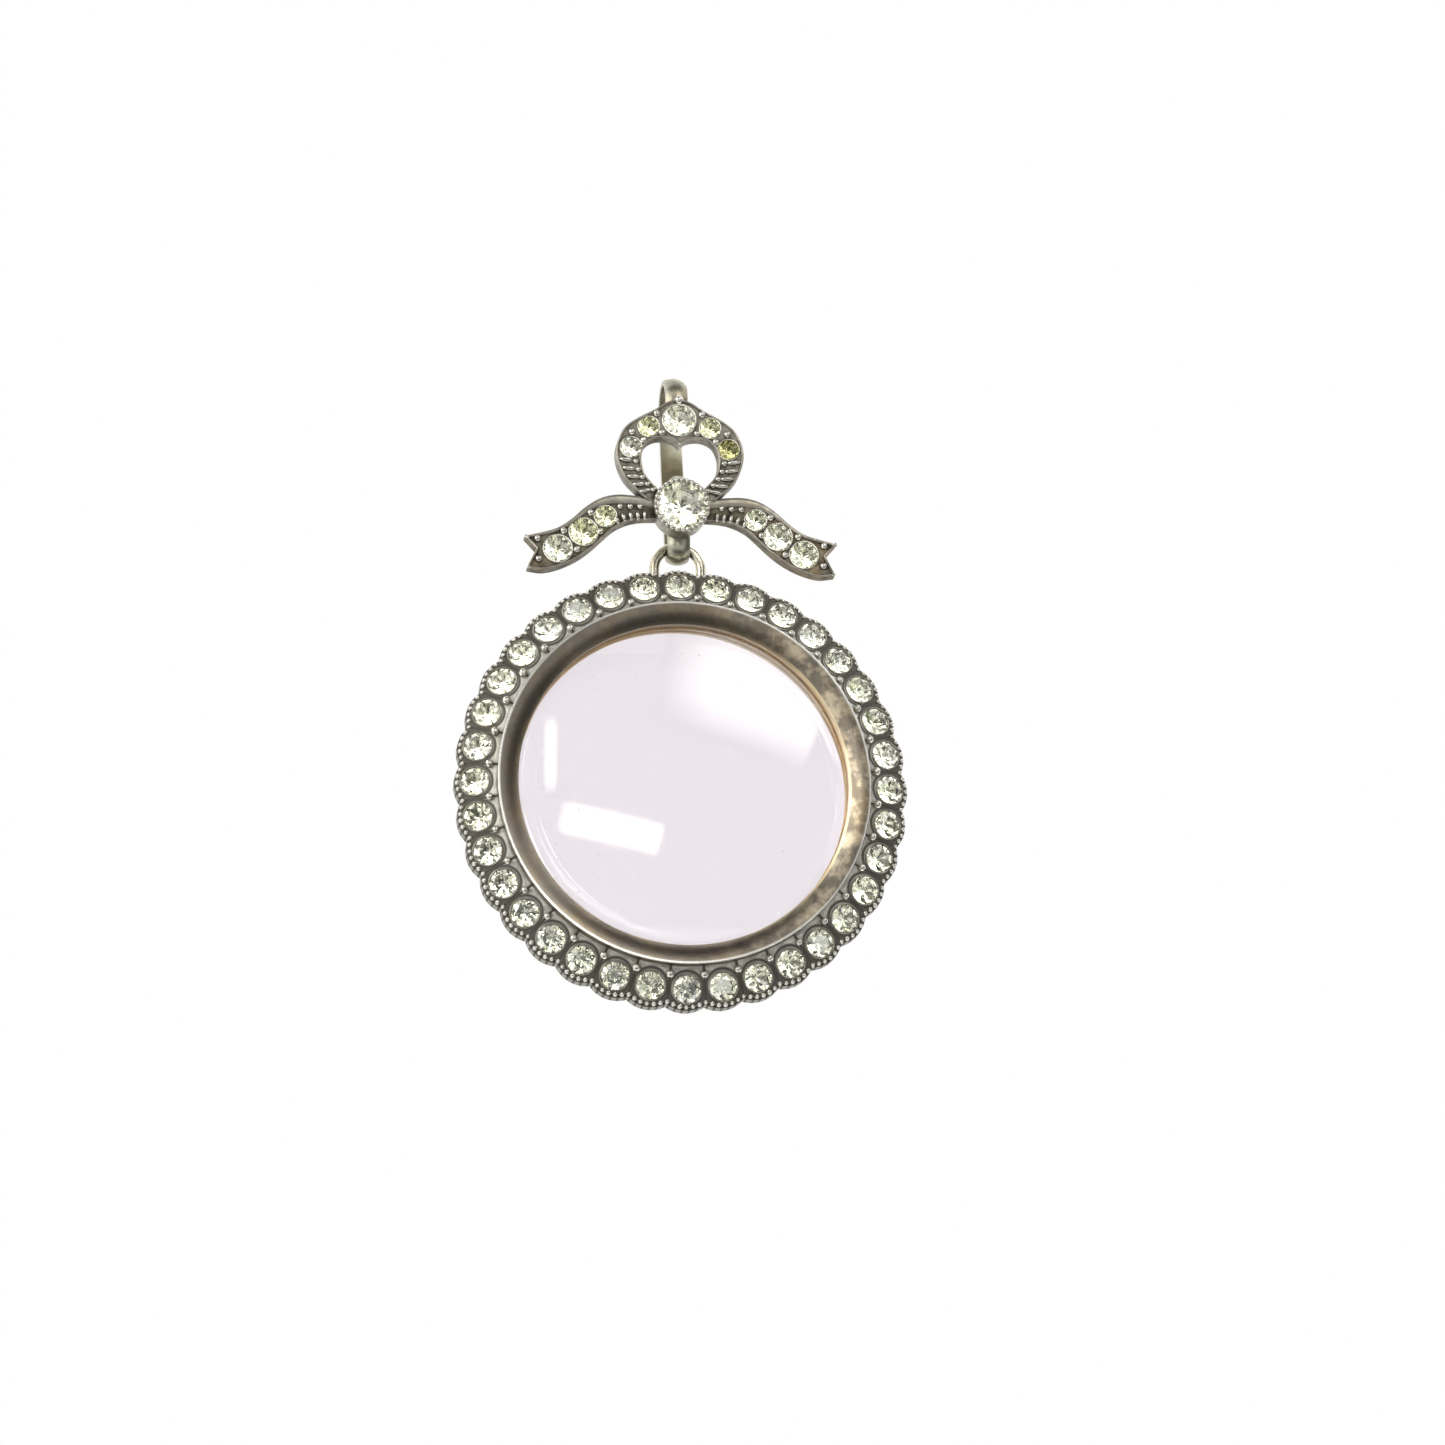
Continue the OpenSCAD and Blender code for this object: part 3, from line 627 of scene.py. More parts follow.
def paste(name, tint=(0.985, 0.99, 0.935, 1), shaded=(0.965, 0.98, 0.85, 1), foil=(0.95, 0.95, 0.91, 1),
          aged=(0.88, 0.90, 0.76, 1), dull=(0.2, 0.21, 0.15, 1), dulled=0.93, bend=1.5):
    """Foil-backed glass paste, with a mirror of aged foil on the facets that face backwards. Each facet
    has a tone of its own, from its direction: some show the foil bright, and those past the share dulled
    show it dull. bend is the glass's index of refraction. From within the stone the shader sees its
    normals turned round, so they are turned back there."""
    material, tree, shader, at = finish(name)
    facing_out = node(tree, "ShaderNodeTexCoord").outputs["Normal"]
    inside = node(tree, "ShaderNodeNewGeometry").outputs["Backfacing"]
    flip = number(tree, "MULTIPLY_ADD", inside, -2.0, 1.0)
    out = node(tree, "ShaderNodeVectorMath", {0: facing_out, 3: flip}, operation="SCALE").outputs[0]
    back = node(tree, "ShaderNodeSeparateXYZ", {0: out}).outputs[1]
    foiled = stretch(tree, back, 0.34, 0.42)
    steps = node(tree, "ShaderNodeVectorMath", {0: out, 1: (FACET_STEP,) * 3}, operation="SNAP").outputs[0]
    facet = node(tree, "ShaderNodeTexWhiteNoise", {"Vector": steps}, noise_dimensions="3D").outputs["Value"]
    each = grain(tree, at, 2.6, 0.0)
    age = grain(tree, at, 0.7, 2.0)
    glass = blend_colours(tree, stretch(tree, each, 0.38, 0.62), tint, shaded)
    for row, place, side, face_y, changed in CHANGED_STONES:
        x, z, r = row[place]
        middle = (side * x * MM, (face_y - 0.1) * MM, (KNOT_Z + z) * MM)
        away = node(tree, "ShaderNodeVectorMath", {0: at, 1: middle}, operation="DISTANCE").outputs["Value"]
        glass = blend_colours(tree, stretch(tree, away, (r + 0.2) * MM, (r + 0.15) * MM), glass, changed)
    mirror = blend_colours(tree, stretch(tree, age, 0.50, 0.68), foil, aged)
    mirror = blend_colours(tree, stretch(tree, facet, dulled, dulled + 0.02), mirror, dull)
    colour = blend_colours(tree, foiled, glass, mirror)
    tree.links.new(colour, shader.inputs["Base Color"])
    shown = stretch(tree, facet, 0.23, 0.20, 0.04, 0.6)
    tree.links.new(most(tree, foiled, shown), shader.inputs["Metallic"])
    shader.inputs["Transmission Weight"].default_value = 0.95
    shader.inputs["IOR"].default_value = bend
    smears = grain(tree, at, 0.35, 3.0)
    smooth = stretch(tree, smears, 0.4, 0.75, 0.015, 0.08)
    tree.links.new(number(tree, "MULTIPLY_ADD", shown, 0.35, smooth), shader.inputs["Roughness"])
    return material


def old_glass(name, tint):
    """Thin old glass, faintly tinted, with specks of dust, hair scratches and a little rub in its polish."""
    material, tree, shader, at = finish(name)
    shader.inputs["Base Color"].default_value = tint
    shader.inputs["Transmission Weight"].default_value = 1.0
    shader.inputs["IOR"].default_value = GLASS_BEND
    film = grain(tree, at, 3.0, 3.0)
    specks = node(tree, "ShaderNodeTexVoronoi", {"Vector": at, "Scale": 1 / (DUST_APART * MM),
                                                 "Randomness": 1.0})
    dust = stretch(tree, specks.outputs["Distance"], 0.075, 0.045)
    pick = node(tree, "ShaderNodeSeparateXYZ", {0: specks.outputs["Color"]}).outputs[0]
    dust = times(tree, dust, stretch(tree, pick, 0.55, 0.6))
    rough = stretch(tree, film, 0.45, 0.7, 0.01, 0.06)
    rough = number(tree, "MULTIPLY_ADD", dust, 0.5, rough, clamp=True)
    tree.links.new(rough, shader.inputs["Roughness"])
    along = node(tree, "ShaderNodeMapping", {"Vector": at, "Scale": (1.0, 1.0, 14.0),
                                             "Rotation": (0.0, 0.9, 0.0)})
    hairs = grain(tree, along.outputs[0], 1.5, 2.0)
    height = number(tree, "MULTIPLY_ADD", stretch(tree, hairs, 0.68, 0.74), 0.2, dust)
    bump = node(tree, "ShaderNodeBump", {"Strength": 0.25, "Distance": 0.02 * MM, "Height": height})
    tree.links.new(bump.outputs[0], shader.inputs["Normal"])
    return material


SILVER = tarnished("tarnished_silver")
# The bezel's finish: its wear, with a painted highlight on its outer edge and a painted warm reflection in
# its gilding.
SATIN = tarnished("satin_bezel_silver", body=(0.27, 0.235, 0.19, 1), warm=0.45, grime=0.3, satin=0.22,
                  reach=0.35, bezel_wear_and_light=True, rounding=0.16)
RIMS = tarnished("stone_rim_silver", body=(0.46, 0.44, 0.38, 1), grime=0.8, reach=0.3, satin=0.2)
# The halo's finish, with its cut marks and a painted shade on its sideways faces.
SETTING = tarnished("cut_setting_silver", body=(0.82, 0.80, 0.72, 1), grime=0.5, reach=0.45, satin=0.3,
                    halo_cuts_and_shade=True)
BOW_SILVER = tarnished("bow_silver", body=(0.46, 0.43, 0.36, 1), grime=0.6, reach=0.4, satin=0.25,
                       scratch=0.9)
LOOPS_GROUND = tarnished("loops_ground_silver", body=(0.37, 0.35, 0.29, 1), grime=0.75, reach=0.6, warm=0.3,
                         scratch=0.9)
BOW_GROUND = tarnished("bow_ground_silver", body=(0.21, 0.195, 0.15, 1), grime=0.95, reach=0.8, warm=0.5,
                       scratch=0.9)
STRAP = tarnished("strap_silver", body=(0.56, 0.55, 0.44, 1), warm=0.4, grime=0.4, satin=0.24)
WIRE = tarnished("drawn_wire_silver", body=(0.84, 0.79, 0.63, 1), warm=0.45, grime=0.5, satin=0.1)
BEADS = tarnished("rubbed_bead_silver", body=(0.84, 0.82, 0.75, 1), grime=0.3, reach=0.2, satin=0.13,
                  warm=0.1)
GILT_RING = tarnished("gilt_ring", body=GILT, polish=(0.86, 0.72, 0.45, 1), warm=0.2, grime=0.3, satin=0.28)
PIN = tarnished("steel_pin", body=(0.30, 0.29, 0.27, 1), warm=0.1, grime=0.4, satin=0.3)
PASTE = paste("foiled_paste")
BOW_PASTE = paste("foiled_bow_paste", foil=(0.70, 0.70, 0.67, 1), aged=(0.64, 0.65, 0.53, 1),
                  dull=(0.18, 0.19, 0.14, 1), dulled=0.75, bend=1.42)
FRONT_GLASS = old_glass("domed_glass", (0.885, 0.845, 0.87, 1))
REAR_GLASS = old_glass("flat_glass", (0.95, 0.93, 0.945, 1))

NODE_FINISHES = {
    "bail_strap": STRAP, "bow_loops": LOOPS_GROUND, "bow_tail_left": BOW_GROUND, "bow_tail_right": BOW_GROUND,
    "knot_collet": BOW_SILVER, "suspension_loop": WIRE, "halo_frame": SETTING, "case_band": SATIN,
    "front_glass": FRONT_GLASS, "rear_glass": REAR_GLASS, "front_photo_ring": GILT_RING,
    "rear_photo_ring": GILT_RING, "case_knuckles": SILVER, "door_knuckle": SILVER, "hinge_pin": PIN,
    "rear_bezel": SATIN, "thumb_lip": SILVER, "halo_stones": PASTE,
}
for name, piece in frame["nodes"].items():
    material = NODE_FINISHES.get(name, BOW_PASTE)
    for slot in piece.material_slots:
        slot.material = material


# --- the domed glass ---
GLASS_ROWS = 40
GLASS_AROUND = 144
GLASS_CORNER = 0.02


def domed_glass():
    """The front glass, finely divided so that its reflections run smooth: the CAD's own profile, two arcs
    of spheres with one centre and a flat flange between them, turned about the case's axis."""
    edge = WINDOW_R - 0.1
    sphere = (edge**2 + DOME_RISE**2) / (2 * DOME_RISE)
    centre = GLASS_SEAT_H + DOME_RISE - sphere
    back = GLASS_SEAT_H - FLANGE_T
    under = sphere - GLASS_T
    inner = math.sqrt(under**2 - (back - centre)**2)
    up = np.linspace(0, 1, GLASS_ROWS)[1:, None]
    top = np.concatenate([edge * up, centre + np.sqrt(sphere**2 - (edge * up)**2)], 1)
    low = np.concatenate([inner * up, centre + np.sqrt(under**2 - (inner * up)**2)], 1)[::-1]
    cut = GLASS_CORNER
    rim = np.array([(edge + cut, GLASS_SEAT_H), (GLASS_R - cut, GLASS_SEAT_H), (GLASS_R, GLASS_SEAT_H - cut),
                    (GLASS_R, back + cut), (GLASS_R - cut, back), (inner + cut, back)])
    rings = np.concatenate([top, rim, low])
    around = GLASS_AROUND
    angle = np.arange(around) * 2 * np.pi / around
    grid = on_case(np.tile(angle, len(rings)), np.repeat(rings[:, 0], around), np.repeat(rings[:, 1], around))
    poles = on_case(np.zeros(2), np.zeros(2), np.array([centre + sphere, centre + under]))
    k = np.arange(around)
    step = (k + 1) % around
    row = np.arange(len(rings) - 1)[:, None] * around
    quads = np.stack([row + k, row + step, row + around + step, row + around + k], -1).reshape(-1, 4).tolist()
    last = (len(rings) - 1) * around
    fans = np.stack([np.full(around, len(grid)), step, k], -1).tolist()
    fans += np.stack([np.full(around, len(grid) + 1), last + k, last + step], -1).tolist()
    glass = make_piece("domed_front_glass", np.concatenate([grid, poles]), quads + fans, "locket",
                       FRONT_GLASS)
    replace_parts(outward(glass), "front_glass")


domed_glass()


# --- halo: rims, beads and grains ---
FRONT = np.array([0, -1.0, 0])
STONE_TURNS = np.arange(STONES_ROUND) * 2 * np.pi / STONES_ROUND
NOTCH_TURNS = STONE_TURNS + np.pi / STONES_ROUND
RIM_GRID = (36, 6)
HALO_RIM_WIRE = 0.075
RIM_LIFT = 0.012
EDGE_BALL = (8, 5)
EDGE_BEAD_R = 0.215
BEAD_INSET = 1.13 * EDGE_BEAD_R
BEAD_TALL = 1.6
BEAD_SUNK = 0.1
NOTCH_IN = 0.62
HALO_GRAIN_BALL = (12, 7)
HALO_GRAIN_R = 0.34
HALO_GRAIN_IN = 1.12
HALO_GRAIN_LIFT = 0.14


def halo_face(angle, radius):
    """Points on the halo's sloping face."""
    return on_case(angle, radius, HALO_EDGE_H + (HALO_R - radius) * math.tan(HALO_SLOPE))


def outwards(angle):
    """The direction from the case's middle at each angle from the top, clockwise."""
    return np.stack([np.sin(angle), 0 * angle, np.cos(angle)], -1)


def halo_rims():
    """A thin rim round each stone of the halo: a ring on the sloping face, just outside the stone."""
    out = outwards(STONE_TURNS)
    normal = FRONT * math.cos(HALO_SLOPE) + out * math.sin(HALO_SLOPE)
    middle = halo_face(STONE_TURNS, RING_R) + RIM_LIFT * normal
    vertices, faces = repeated(tube(*RIM_GRID, HALO_RIM_WIRE), middle, facing(out, normal),
                               [HALO_STONE_R] * 3)
    return make_piece("halo_stone_rims", vertices, faces, "locket", RIMS)


def halo_beads():
    """Beads along the outer edge: on each scallop five stand on the ledge, on an arc about the scallop's
    middle, and one more stands in each notch. Each is a long ball whose foot is sunk in the ledge, and
    which ends a hair inside the scallop's edge."""
    turn = np.arange(-2, 3) * BEAD_TURN
    reach = SCALLOP_R - BEAD_INSET
    x = reach * np.sin(turn)[None, :]
    z = HALO_R - SCALLOP_R + reach * np.cos(turn)[None, :] + 0 * STONE_TURNS[:, None]
    angle = np.concatenate([(STONE_TURNS[:, None] + np.arctan2(x, z)).ravel(), NOTCH_TURNS])
    radius = np.concatenate([np.hypot(x, z).ravel(), np.full(STONES_ROUND, HALO_R - NOTCH_IN)])
    count = np.arange(len(angle))
    size = EDGE_BEAD_R * (1 + 0.07 * np.sin(7.3 * count) + 0.05 * np.sin(2.1 * count + 1))
    centres = halo_face(angle, radius) - BEAD_SUNK * FRONT
    out = outwards(angle)
    frames = facing(out, np.broadcast_to(FRONT, out.shape))
    tall = np.stack([size, size, BEAD_TALL * size], -1)
    return dotted("halo_edge_beads", EDGE_BALL, centres, tall, "locket", BEADS, frames)


def halo_grains():
    """One larger grain between each two stones, on the side of the bezel."""
    centres = halo_face(NOTCH_TURNS, np.full(STONES_ROUND, RING_R - HALO_GRAIN_IN)) + HALO_GRAIN_LIFT * FRONT
    size = HALO_GRAIN_R * (1 + 0.1 * np.sin(5.7 * np.arange(STONES_ROUND)))
    return dotted("halo_inner_grains", HALO_GRAIN_BALL, centres, size, "locket", BEADS)


halo_rims()
halo_beads()
halo_grains()


# --- bow: rims, grains, ribs and edges ---
BOW_RIM_WIRE = 0.06
KNOT_BEADS = 30
KNOT_BEAD_R = 0.2
KNOT_BALL = (10, 6)
GRAIN_BALL = (14, 8)
GRAIN_R = 0.31
TOP_GRAIN_R = 0.38
ROW_GRAIN_R = 0.27
RIDGE = (0.62, 0.22, 0.3)
RIDGE_GRAIN = (0.27, 0.25, 0.27)
BAR = (0.42, 0.2, 0.3)
LOOP_GRAINS = [(1.95, 8.45), (1.5, 6.72), (4.12, 6.72), (3.12, 6.0)]
TAIL_GRAINS = [(7.72, -0.62), (6.92, -2.28), (8.92, -3.95), (10.05, -2.3), (12.28, -3.05), (12.2, -4.85)]
FIRST_ROW_GRAIN = 1 + 2 * len(LOOP_GRAINS) + 2 * len(TAIL_GRAINS)
ROW_STEP = np.array([-0.85, 0.02])
# Raised edges, as (width, rise, how far their middle lies to the right of the outline that they follow).
HEART_EDGE = (0.2, 0.12, -0.10)
LOOPS_EDGE = (0.2, 0.1, 0.11)
TAIL_TOP_EDGE = (0.5, 0.13, 0.27)
TAIL_TIP_EDGE = (0.22, 0.14, 0.12)
TAIL_LOW_EDGE = (0.18, 0.1, 0.10)


def mirrored_pair(places):
    """Places [x, z] and their mirror images across the bow's middle."""
    places = np.asarray(places, float)
    return np.concatenate([places, places * [-1, 1]])


def on_plate(places, y):
    """Places [x, z] of the bow as points at the depth y."""
    flat = at_knot(places)
    return np.stack([flat[:, 0], np.full(len(flat), y), flat[:, 1]], -1)


def bow_rims():
    """Thin rims round the stones of the bow, each a ring that lies on the bow's front."""
    stones = [(x, z, r, LOOPS_Y) for x, z, r in LOOP_STONES] + [(x, z, r, TAILS_Y) for x, z, r in TAIL_STONES]
    stones += [(-x, z, r, y) for x, z, r, y in stones] + [TOP_STONE + (LOOPS_Y,)]
    centres = np.array([[x, y - RIM_LIFT, KNOT_Z + z] for x, z, r, y in stones])
    size = np.array([[r + 0.045] * 3 for x, z, r, y in stones])
    vertices, faces = repeated(tube(*RIM_GRID, BOW_RIM_WIRE), centres,
                               flat_frames(np.zeros(len(stones))), size)
    return make_piece("bow_stone_rims", vertices, faces, "bail", BEADS)


def knot_beads():
    """Beads round the lip of the knot's collet, a little sunk in it."""
    count = np.arange(KNOT_BEADS)
    angle = count * 2 * np.pi / KNOT_BEADS
    radius = KNOT_LIP_R - 0.19
    centres = np.stack([radius * np.sin(angle), np.full(KNOT_BEADS, BOW_BACK_Y - KNOT_H + 0.04),
                        KNOT_Z + radius * np.cos(angle)], -1)
    size = KNOT_BEAD_R * (1 + 0.08 * np.sin(3.7 * count))
    return dotted("knot_collet_beads", KNOT_BALL, centres, size, "bail", BEADS)


def bow_grains():
    """Grains of the bow: one at its top, pairs between the stones of the loops, and those between the
    stones and in the tips of the tails. A row of three runs in from the point on the right tail, towards
    the knot."""
    top = place_on("bow top grain", frame["nodes"]["bow_loops"])
    row = place_on("right tail grain", frame["nodes"]["bow_tail_right"])
    row_at = np.array([row[0], row[2] - KNOT_Z])
    rows = mirrored_pair([row_at + k * ROW_STEP for k in range(3)])
    places = np.concatenate([on_plate([(0.0, top[2] - KNOT_Z)], LOOPS_Y + 0.05),
                             on_plate(mirrored_pair(LOOP_GRAINS), LOOPS_Y),
                             on_plate(mirrored_pair(TAIL_GRAINS), TAILS_Y), on_plate(rows, TAILS_Y)])
    size = np.array([TOP_GRAIN_R] + [GRAIN_R] * (FIRST_ROW_GRAIN - 1) + [ROW_GRAIN_R] * len(rows))
    return dotted("bow_grains", GRAIN_BALL, places, size, "bail", BEADS)


def bow_ribs():
    """Ridges cut across the outer side of each loop's lower band, a grain beside the inner end of each,
    and short bars along the tails' lower edges beside the knot. Each ridge or bar is a long ball laid
    across its band."""
    first = place_on("right loop rib", frame["nodes"]["bow_loops"])
    outer = np.array([(5.42, 4.25), (5.15, 3.45), (4.72, 2.68), (4.2, 1.95), (3.6, 1.3)])
    inner = np.array([(3.28, 3.95), (3.1, 3.25), (2.8, 2.6), (2.4, 2.05), (1.95, 1.6)])
    run = inner - outer
    ridge_at = outer + 0.34 * run
    shift = np.array([first[0], first[2] - KNOT_Z]) - ridge_at[0]
    ridge_at, grain_at = ridge_at + shift, outer + 0.74 * run + shift
    ridge_turn = np.arctan2(run[:, 1], run[:, 0])
    tail_at = np.stack([np.linspace(3.1, 5.5, 5), np.array([-0.72, -0.78, -0.85, -1.0, -1.25])], 1)
    tail_turn = np.radians([88, 84, 78, 70, 62])
    places = np.concatenate([on_plate(mirrored_pair(ridge_at), LOOPS_Y),
                             on_plate(mirrored_pair(grain_at), LOOPS_Y),
                             on_plate(mirrored_pair(tail_at), TAILS_Y)])
    turns = np.concatenate([ridge_turn, np.pi - ridge_turn, np.zeros(2 * len(grain_at)), tail_turn,
                            np.pi - tail_turn])
    size = np.repeat([RIDGE, RIDGE_GRAIN, BAR], [2 * len(ridge_at), 2 * len(grain_at), 2 * len(tail_at)],
                     axis=0)
    return dotted("bow_ribs", GRAIN_BALL, places, size, "bail", BEADS, flat_frames(turns))


def half_round(edge, side=1, corners=8, sunk=0.05):
    """The profile of a raised edge: half of an ellipse with a foot sunk in the plate, to one side of its
    path."""
    width, rise, inset = edge
    points = [(width / 2 * math.cos(k), rise * math.sin(k)) for k in np.linspace(0, np.pi, corners)]
    points = [(width / 2, -sunk)] + points + [(-width / 2, -sunk)]
    return [(side * (q - inset), f) for q, f in points]


def bow_edges():
    """Raised edges of the bow: a fine one round the heart-shaped opening, one round the loops, and one
    round each tail, which is broad and soft along the tail's upper side."""
    inner = curve(LOOP_INNER, 8)
    heart = np.concatenate([inner[::-1] * [-1, 1], inner[1:]])
    outer = curve(LOOP_OUTER, 8)
    loops = np.concatenate([outer[::-1] * [-1, 1], outer[1:]])
    parts = [moulding(at_knot(heart), LOOPS_Y, half_round(HEART_EDGE)),
             moulding(at_knot(loops), LOOPS_Y, half_round(LOOPS_EDGE))]
    upper = curve(TAIL_UPPER, 6)
    lower = curve(TAIL_LOWER, 6)[:-6]
    for side in (1, -1):
        top_edge = at_knot(upper * [side, 1])
        tip = at_knot(np.array([upper[-1], TAIL_NOTCH, lower[0]]) * [side, 1])
        low_edge = at_knot(lower * [side, 1])
        broad = np.interp(np.linspace(0, 1, len(top_edge)), [0, 0.25, 0.6, 1], [1.7, 1.7, 0.75, 0.5])
        parts += [moulding(top_edge, TAILS_Y, half_round(TAIL_TOP_EDGE, side), broad),
                  moulding(tip, TAILS_Y, half_round(TAIL_TIP_EDGE, side)),
                  moulding(low_edge, TAILS_Y, half_round(TAIL_LOW_EDGE, side))]
    vertices, faces = joined(parts)
    return outward(make_piece("bow_raised_edges", vertices, faces, "bail", BOW_SILVER))


bow_rims()
knot_beads()
bow_grains()
bow_ribs()
bow_edges()


# --- room: light, floor and cards ---
FLOOR_Z = -0.95
FLOOR_W = 60
FLOOR_COLOUR = (0.88, 0.875, 0.87, 1)
CARD_COLOUR = (0.02, 0.02, 0.02, 1)
MATT_LIGHT = 0.95
FOIL_LIGHT = 5.0


def make_world():
    """White for the camera, for reflections and through glass, and a plain pale light on everything else.
    What has met metal twice and leaves through glass, as light does that foil sends back out of a stone,
    finds it brighter."""
    world = bpy.data.worlds.new("studio")
    bpy.context.scene.world = world
    world.use_nodes = True
    tree = world.node_tree
    ray = node(tree, "ShaderNodeLightPath").outputs
    shown = most(tree, ray["Is Camera Ray"], ray["Is Transmission Ray"])
    shown = most(tree, shown, ray["Is Glossy Ray"])
    strength = stretch(tree, shown, 0.0, 1.0, MATT_LIGHT, 1.0)
    foiled = times(tree, ray["Is Transmission Ray"], stretch(tree, ray["Glossy Depth"], 1.5, 2.0))
    strength = number(tree, "MULTIPLY_ADD", foiled, FOIL_LIGHT, strength)
    background = tree.nodes["Background"]
    background.inputs["Color"].default_value = (1, 1, 1, 1)
    tree.links.new(strength, background.inputs["Strength"])


def bearing(azimuth, elevation, distance):
    """The place at a bearing and distance from the case's middle, and the level right and up of a sheet
    there."""
    a, e = math.radians(azimuth), math.radians(elevation)
    away = Vector((math.sin(a) * math.cos(e), -math.cos(a) * math.cos(e), math.sin(e)))
    right = Vector((0, 0, 1)).cross(away).normalized()
    return Vector((0, 0, CASE_Z * MM)) + distance * away, right, away.cross(right)


def corners_of(middle, right, up, width, height):
    """The four corners of a rectangle round its middle, from the lower left, against the clock."""
    return [tuple(middle + x * width / 2 * right + y * height / 2 * up)
            for x, y in ((-1, -1), (1, -1), (1, 1), (-1, 1))]


def softbox(name, azimuth, elevation, distance, width, height, glow, colour=(1, 1, 1)):
    """A rectangular lamp that faces the case from a bearing seen from it, of a given brightness."""
    place, right, up = bearing(azimuth, elevation, distance)
    data = bpy.data.lights.new(name, "AREA")
    data.shape = "RECTANGLE"
    data.size = width
    data.size_y = height
    data.color = colour
    data.energy = glow * math.pi * width * height
    lamp = bpy.data.objects.new(name, data)
    lamp.matrix_world = Matrix.Translation(place) @ Matrix((right, up, right.cross(up))).transposed().to_4x4()
    lamp.visible_camera = False
    bpy.context.scene.collection.objects.link(lamp)
    return lamp


def glowing_sheet(name, azimuth, elevation, distance, width, height, glow, turn, soft, colour):
    """A window of light with soft edges, facing the case from a bearing seen from it and turned by some
    degrees in its own plane. soft tells what part of its size the left, right, lower and upper edges take
    to fade."""
    middle, right, up = bearing(azimuth, elevation, distance)
    t = math.radians(turn)
    right, up = math.cos(t) * right + math.sin(t) * up, math.cos(t) * up - math.sin(t) * right
    sheet = plain_plane(name, corners_of(middle, right, up, width, height), (0, 0, 0, 1), 1.0)
    layer = sheet.data.uv_layers.new(name="across")
    layer.data.foreach_set("uv", (0, 0, 1, 0, 1, 1, 0, 1))
    tree = sheet.data.materials[0].node_tree
    shader = tree.nodes["Principled BSDF"]
    places = node(tree, "ShaderNodeSeparateXYZ", {0: node(tree, "ShaderNodeTexCoord").outputs["UV"]}).outputs
    glowing = stretch(tree, places[0], 0, soft[0], 0, glow)
    for place, start, end in ((places[0], 1, 1 - soft[1]), (places[1], 0, soft[2]),
                              (places[1], 1, 1 - soft[3])):
        glowing = times(tree, glowing, stretch(tree, place, start, end))
    shader.inputs["Emission Color"].default_value = (*colour, 1)
    tree.links.new(glowing, shader.inputs["Emission Strength"])
    sheet.visible_camera = False
    return sheet


def plain_plane(name, corners, colour, rough):
    """A flat sheet with a plain matt finish, which is not part of the object."""
    mesh = bpy.data.meshes.new(name)
    mesh.from_pydata(corners, [], [(0, 1, 2, 3)])
    sheet = bpy.data.objects.new(name, mesh)
    bpy.context.scene.collection.objects.link(sheet)
    material, _, shader, _ = finish(name)
    shader.inputs["Base Color"].default_value = colour
    shader.inputs["Roughness"].default_value = rough
    mesh.materials.append(material)
    sheet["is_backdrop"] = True
    return sheet


def dark_card(name, azimuth, elevation, distance, width, height):
    """A dark card at a bearing seen from the case, which shows only in reflections on metal and glass."""
    middle, right, up = bearing(azimuth, elevation, distance)
    card = plain_plane(name, corners_of(middle, right, up, width, height), CARD_COLOUR, 0.9)
    card.visible_camera = False
    card.visible_diffuse = False
    card.visible_transmission = False
    card.visible_shadow = False
    return card


make_world()
# Each: azimuth and elevation in degrees, distance, width and height in metres, then its glow, turn, soft
# and colour.
glowing_sheet("window", 19, 31, 1.0, 0.40, 0.36, 5.0, -22, (0.35, 0.05, 0.3, 0.05), (1.0, 0.985, 0.96))
glowing_sheet("strip", -3, 9, 1.0, 0.27, 0.095, 7.0, -14, (0.12, 0.06, 0.2, 0.2), (1.0, 1.0, 1.0))
glowing_sheet("side_window", -11.5, 20, 1.0, 0.04, 0.22, 5.0, 0, (0.3, 0.3, 0.2, 0.2), (1.0, 1.0, 1.0))
glowing_sheet("left_window", -42, 16, 1.0, 0.34, 0.6, 4.0, 0, (0.3, 0.3, 0.3, 0.3), (1.0, 0.97, 0.9))
softbox("left_fill", -70, 25, 0.9, 0.5, 0.6, 1.6)
softbox("back_light", 160, 40, 1.0, 0.6, 0.5, 1.6)
floor_corners = corners_of(Vector((0, 0, FLOOR_Z)), Vector((1, 0, 0)), Vector((0, 1, 0)), FLOOR_W, FLOOR_W)
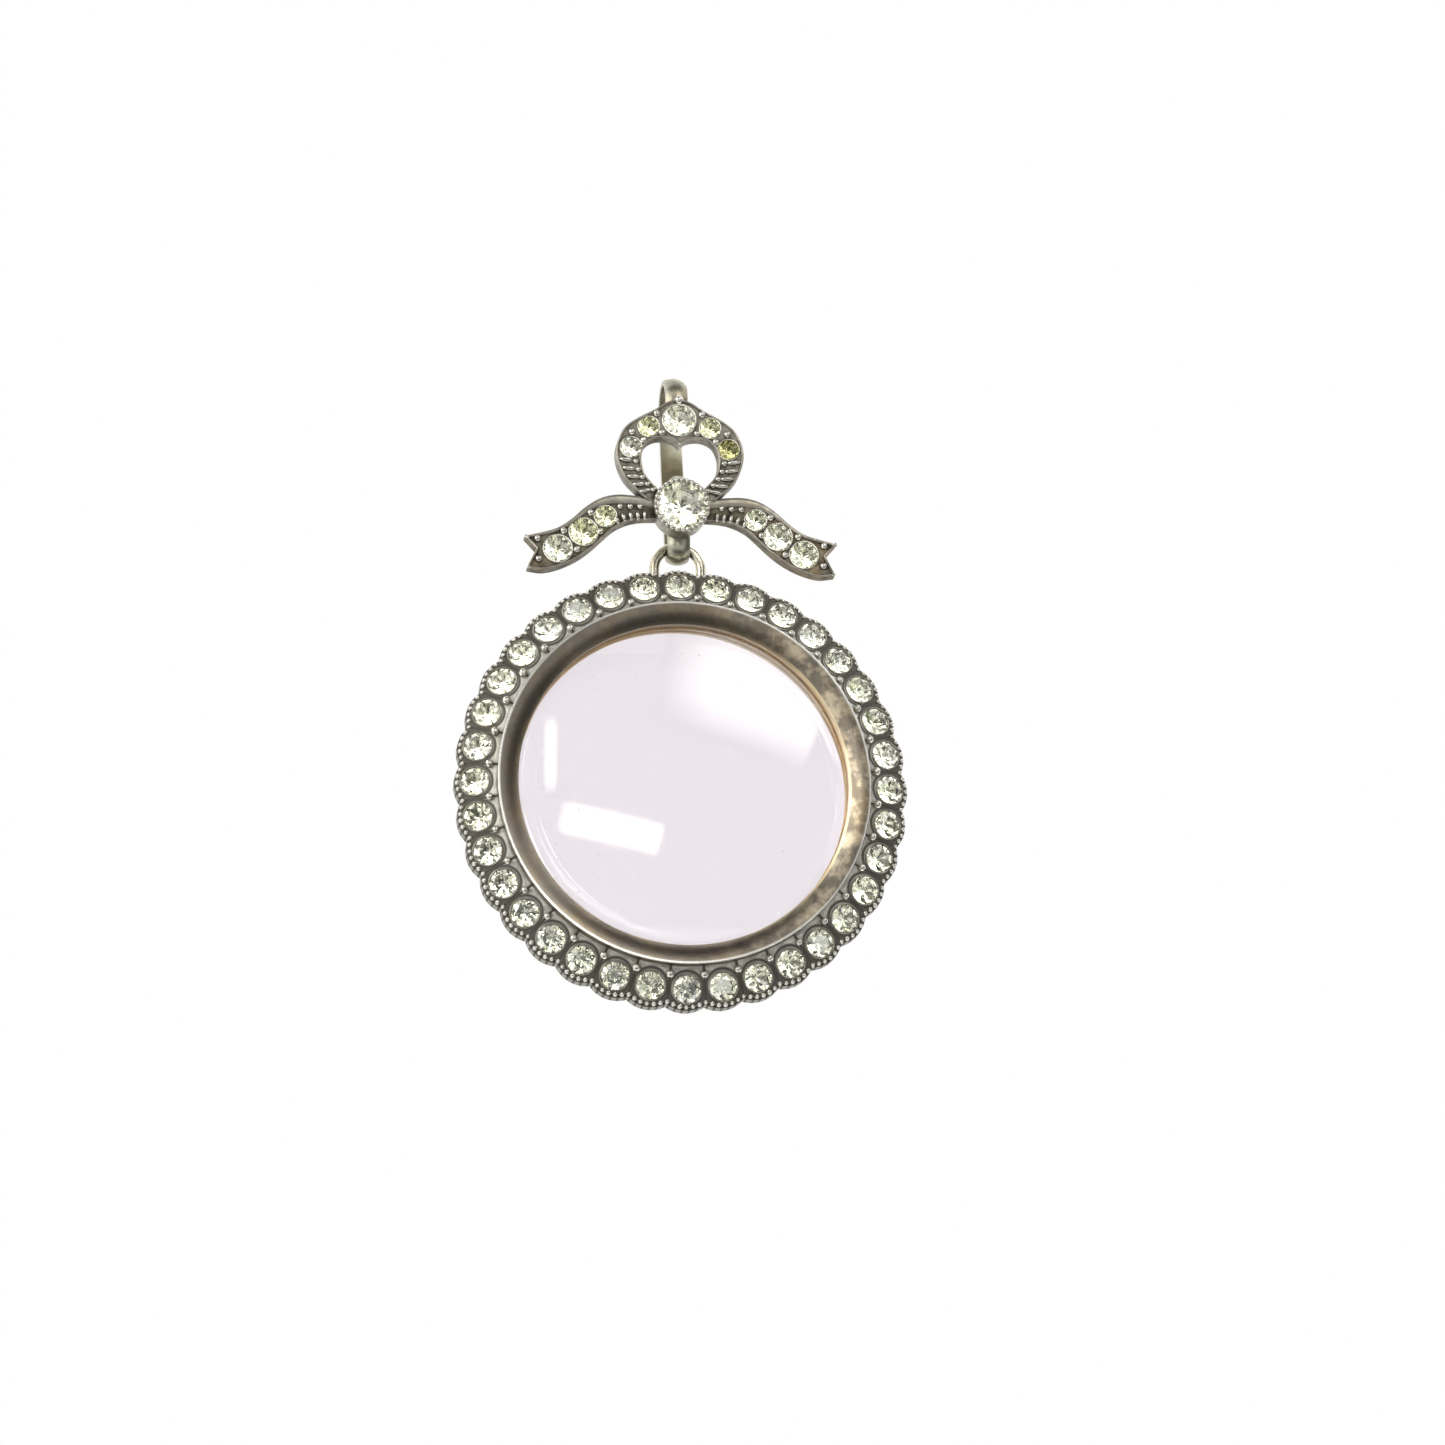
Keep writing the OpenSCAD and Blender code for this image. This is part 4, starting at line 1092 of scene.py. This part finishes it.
plain_plane("floor", floor_corners, FLOOR_COLOUR, 0.8)
dark_card("card_front", 0, 15, 1.3, 1.5, 0.95)
dark_card("card_over", 0, 68, 1.2, 1.6, 0.7)
dark_card("card_under", 5, -58, 1.0, 1.8, 1.1)
dark_card("card_right", 62, 0, 1.2, 0.75, 1.3)
bpy.context.scene.view_settings.view_transform = "Standard"


# --- image places of the named things ---
def mesh_in_view(piece, select=None):
    """Image places of a piece's finished corners, or of those that select keeps, in object millimetres."""
    done = piece.evaluated_get(bpy.context.evaluated_depsgraph_get())
    flat = np.empty(3 * len(done.data.vertices))
    done.data.vertices.foreach_get("co", flat)
    rows = flat.reshape(-1, 3)
    world = np.array(done.matrix_world)
    rows = rows @ world[:3, :3].T + world[:3, 3]
    if select is not None:
        rows = rows[select(rows / MM)]
    return seen_at(rows, LENS, TURN, PLACE)


def write_points():
    """Image places of the whole object and of each named thing, in pixels; they are gathered but neither
    measured against their image points nor kept.
    """
    nodes = frame["nodes"]
    added = bpy.data.objects
    whole = np.concatenate([mesh_in_view(piece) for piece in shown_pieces()])
    outer_x = TAIL_STONES[1][0] - TAIL_STONES[1][2] - 0.05
    half_pitch = RING_R * math.pi / STONES_ROUND
    things = {
        "knot stone": mesh_in_view(nodes["knot_stone"]),
        "top stone": mesh_in_view(nodes["bow_top_stone"]),
        "left tail outer stone": mesh_in_view(nodes["tail_stones_left"], lambda p: p[:, 0] < -outer_x),
        "right tail outer stone": mesh_in_view(nodes["tail_stones_right"], lambda p: p[:, 0] > outer_x),
        "lowest halo stone": mesh_in_view(nodes["halo_stones"],
                                          lambda p: (abs(p[:, 0]) < half_pitch) & (p[:, 2] < CASE_Z)),
        "bow top grain": one_ball(added["bow_grains"], 0),
        "right tail grain": one_ball(added["bow_grains"], FIRST_ROW_GRAIN),
        "right loop rib": one_ball(added["bow_ribs"], 0),
    }


def one_ball(piece, place):
    """Image places of one ball of a piece that is a row of them, each of GRAIN_BALL's corners."""
    each = GRAIN_BALL[0] * GRAIN_BALL[1] + 2
    return mesh_in_view(piece)[place * each:(place + 1) * each]


write_points()
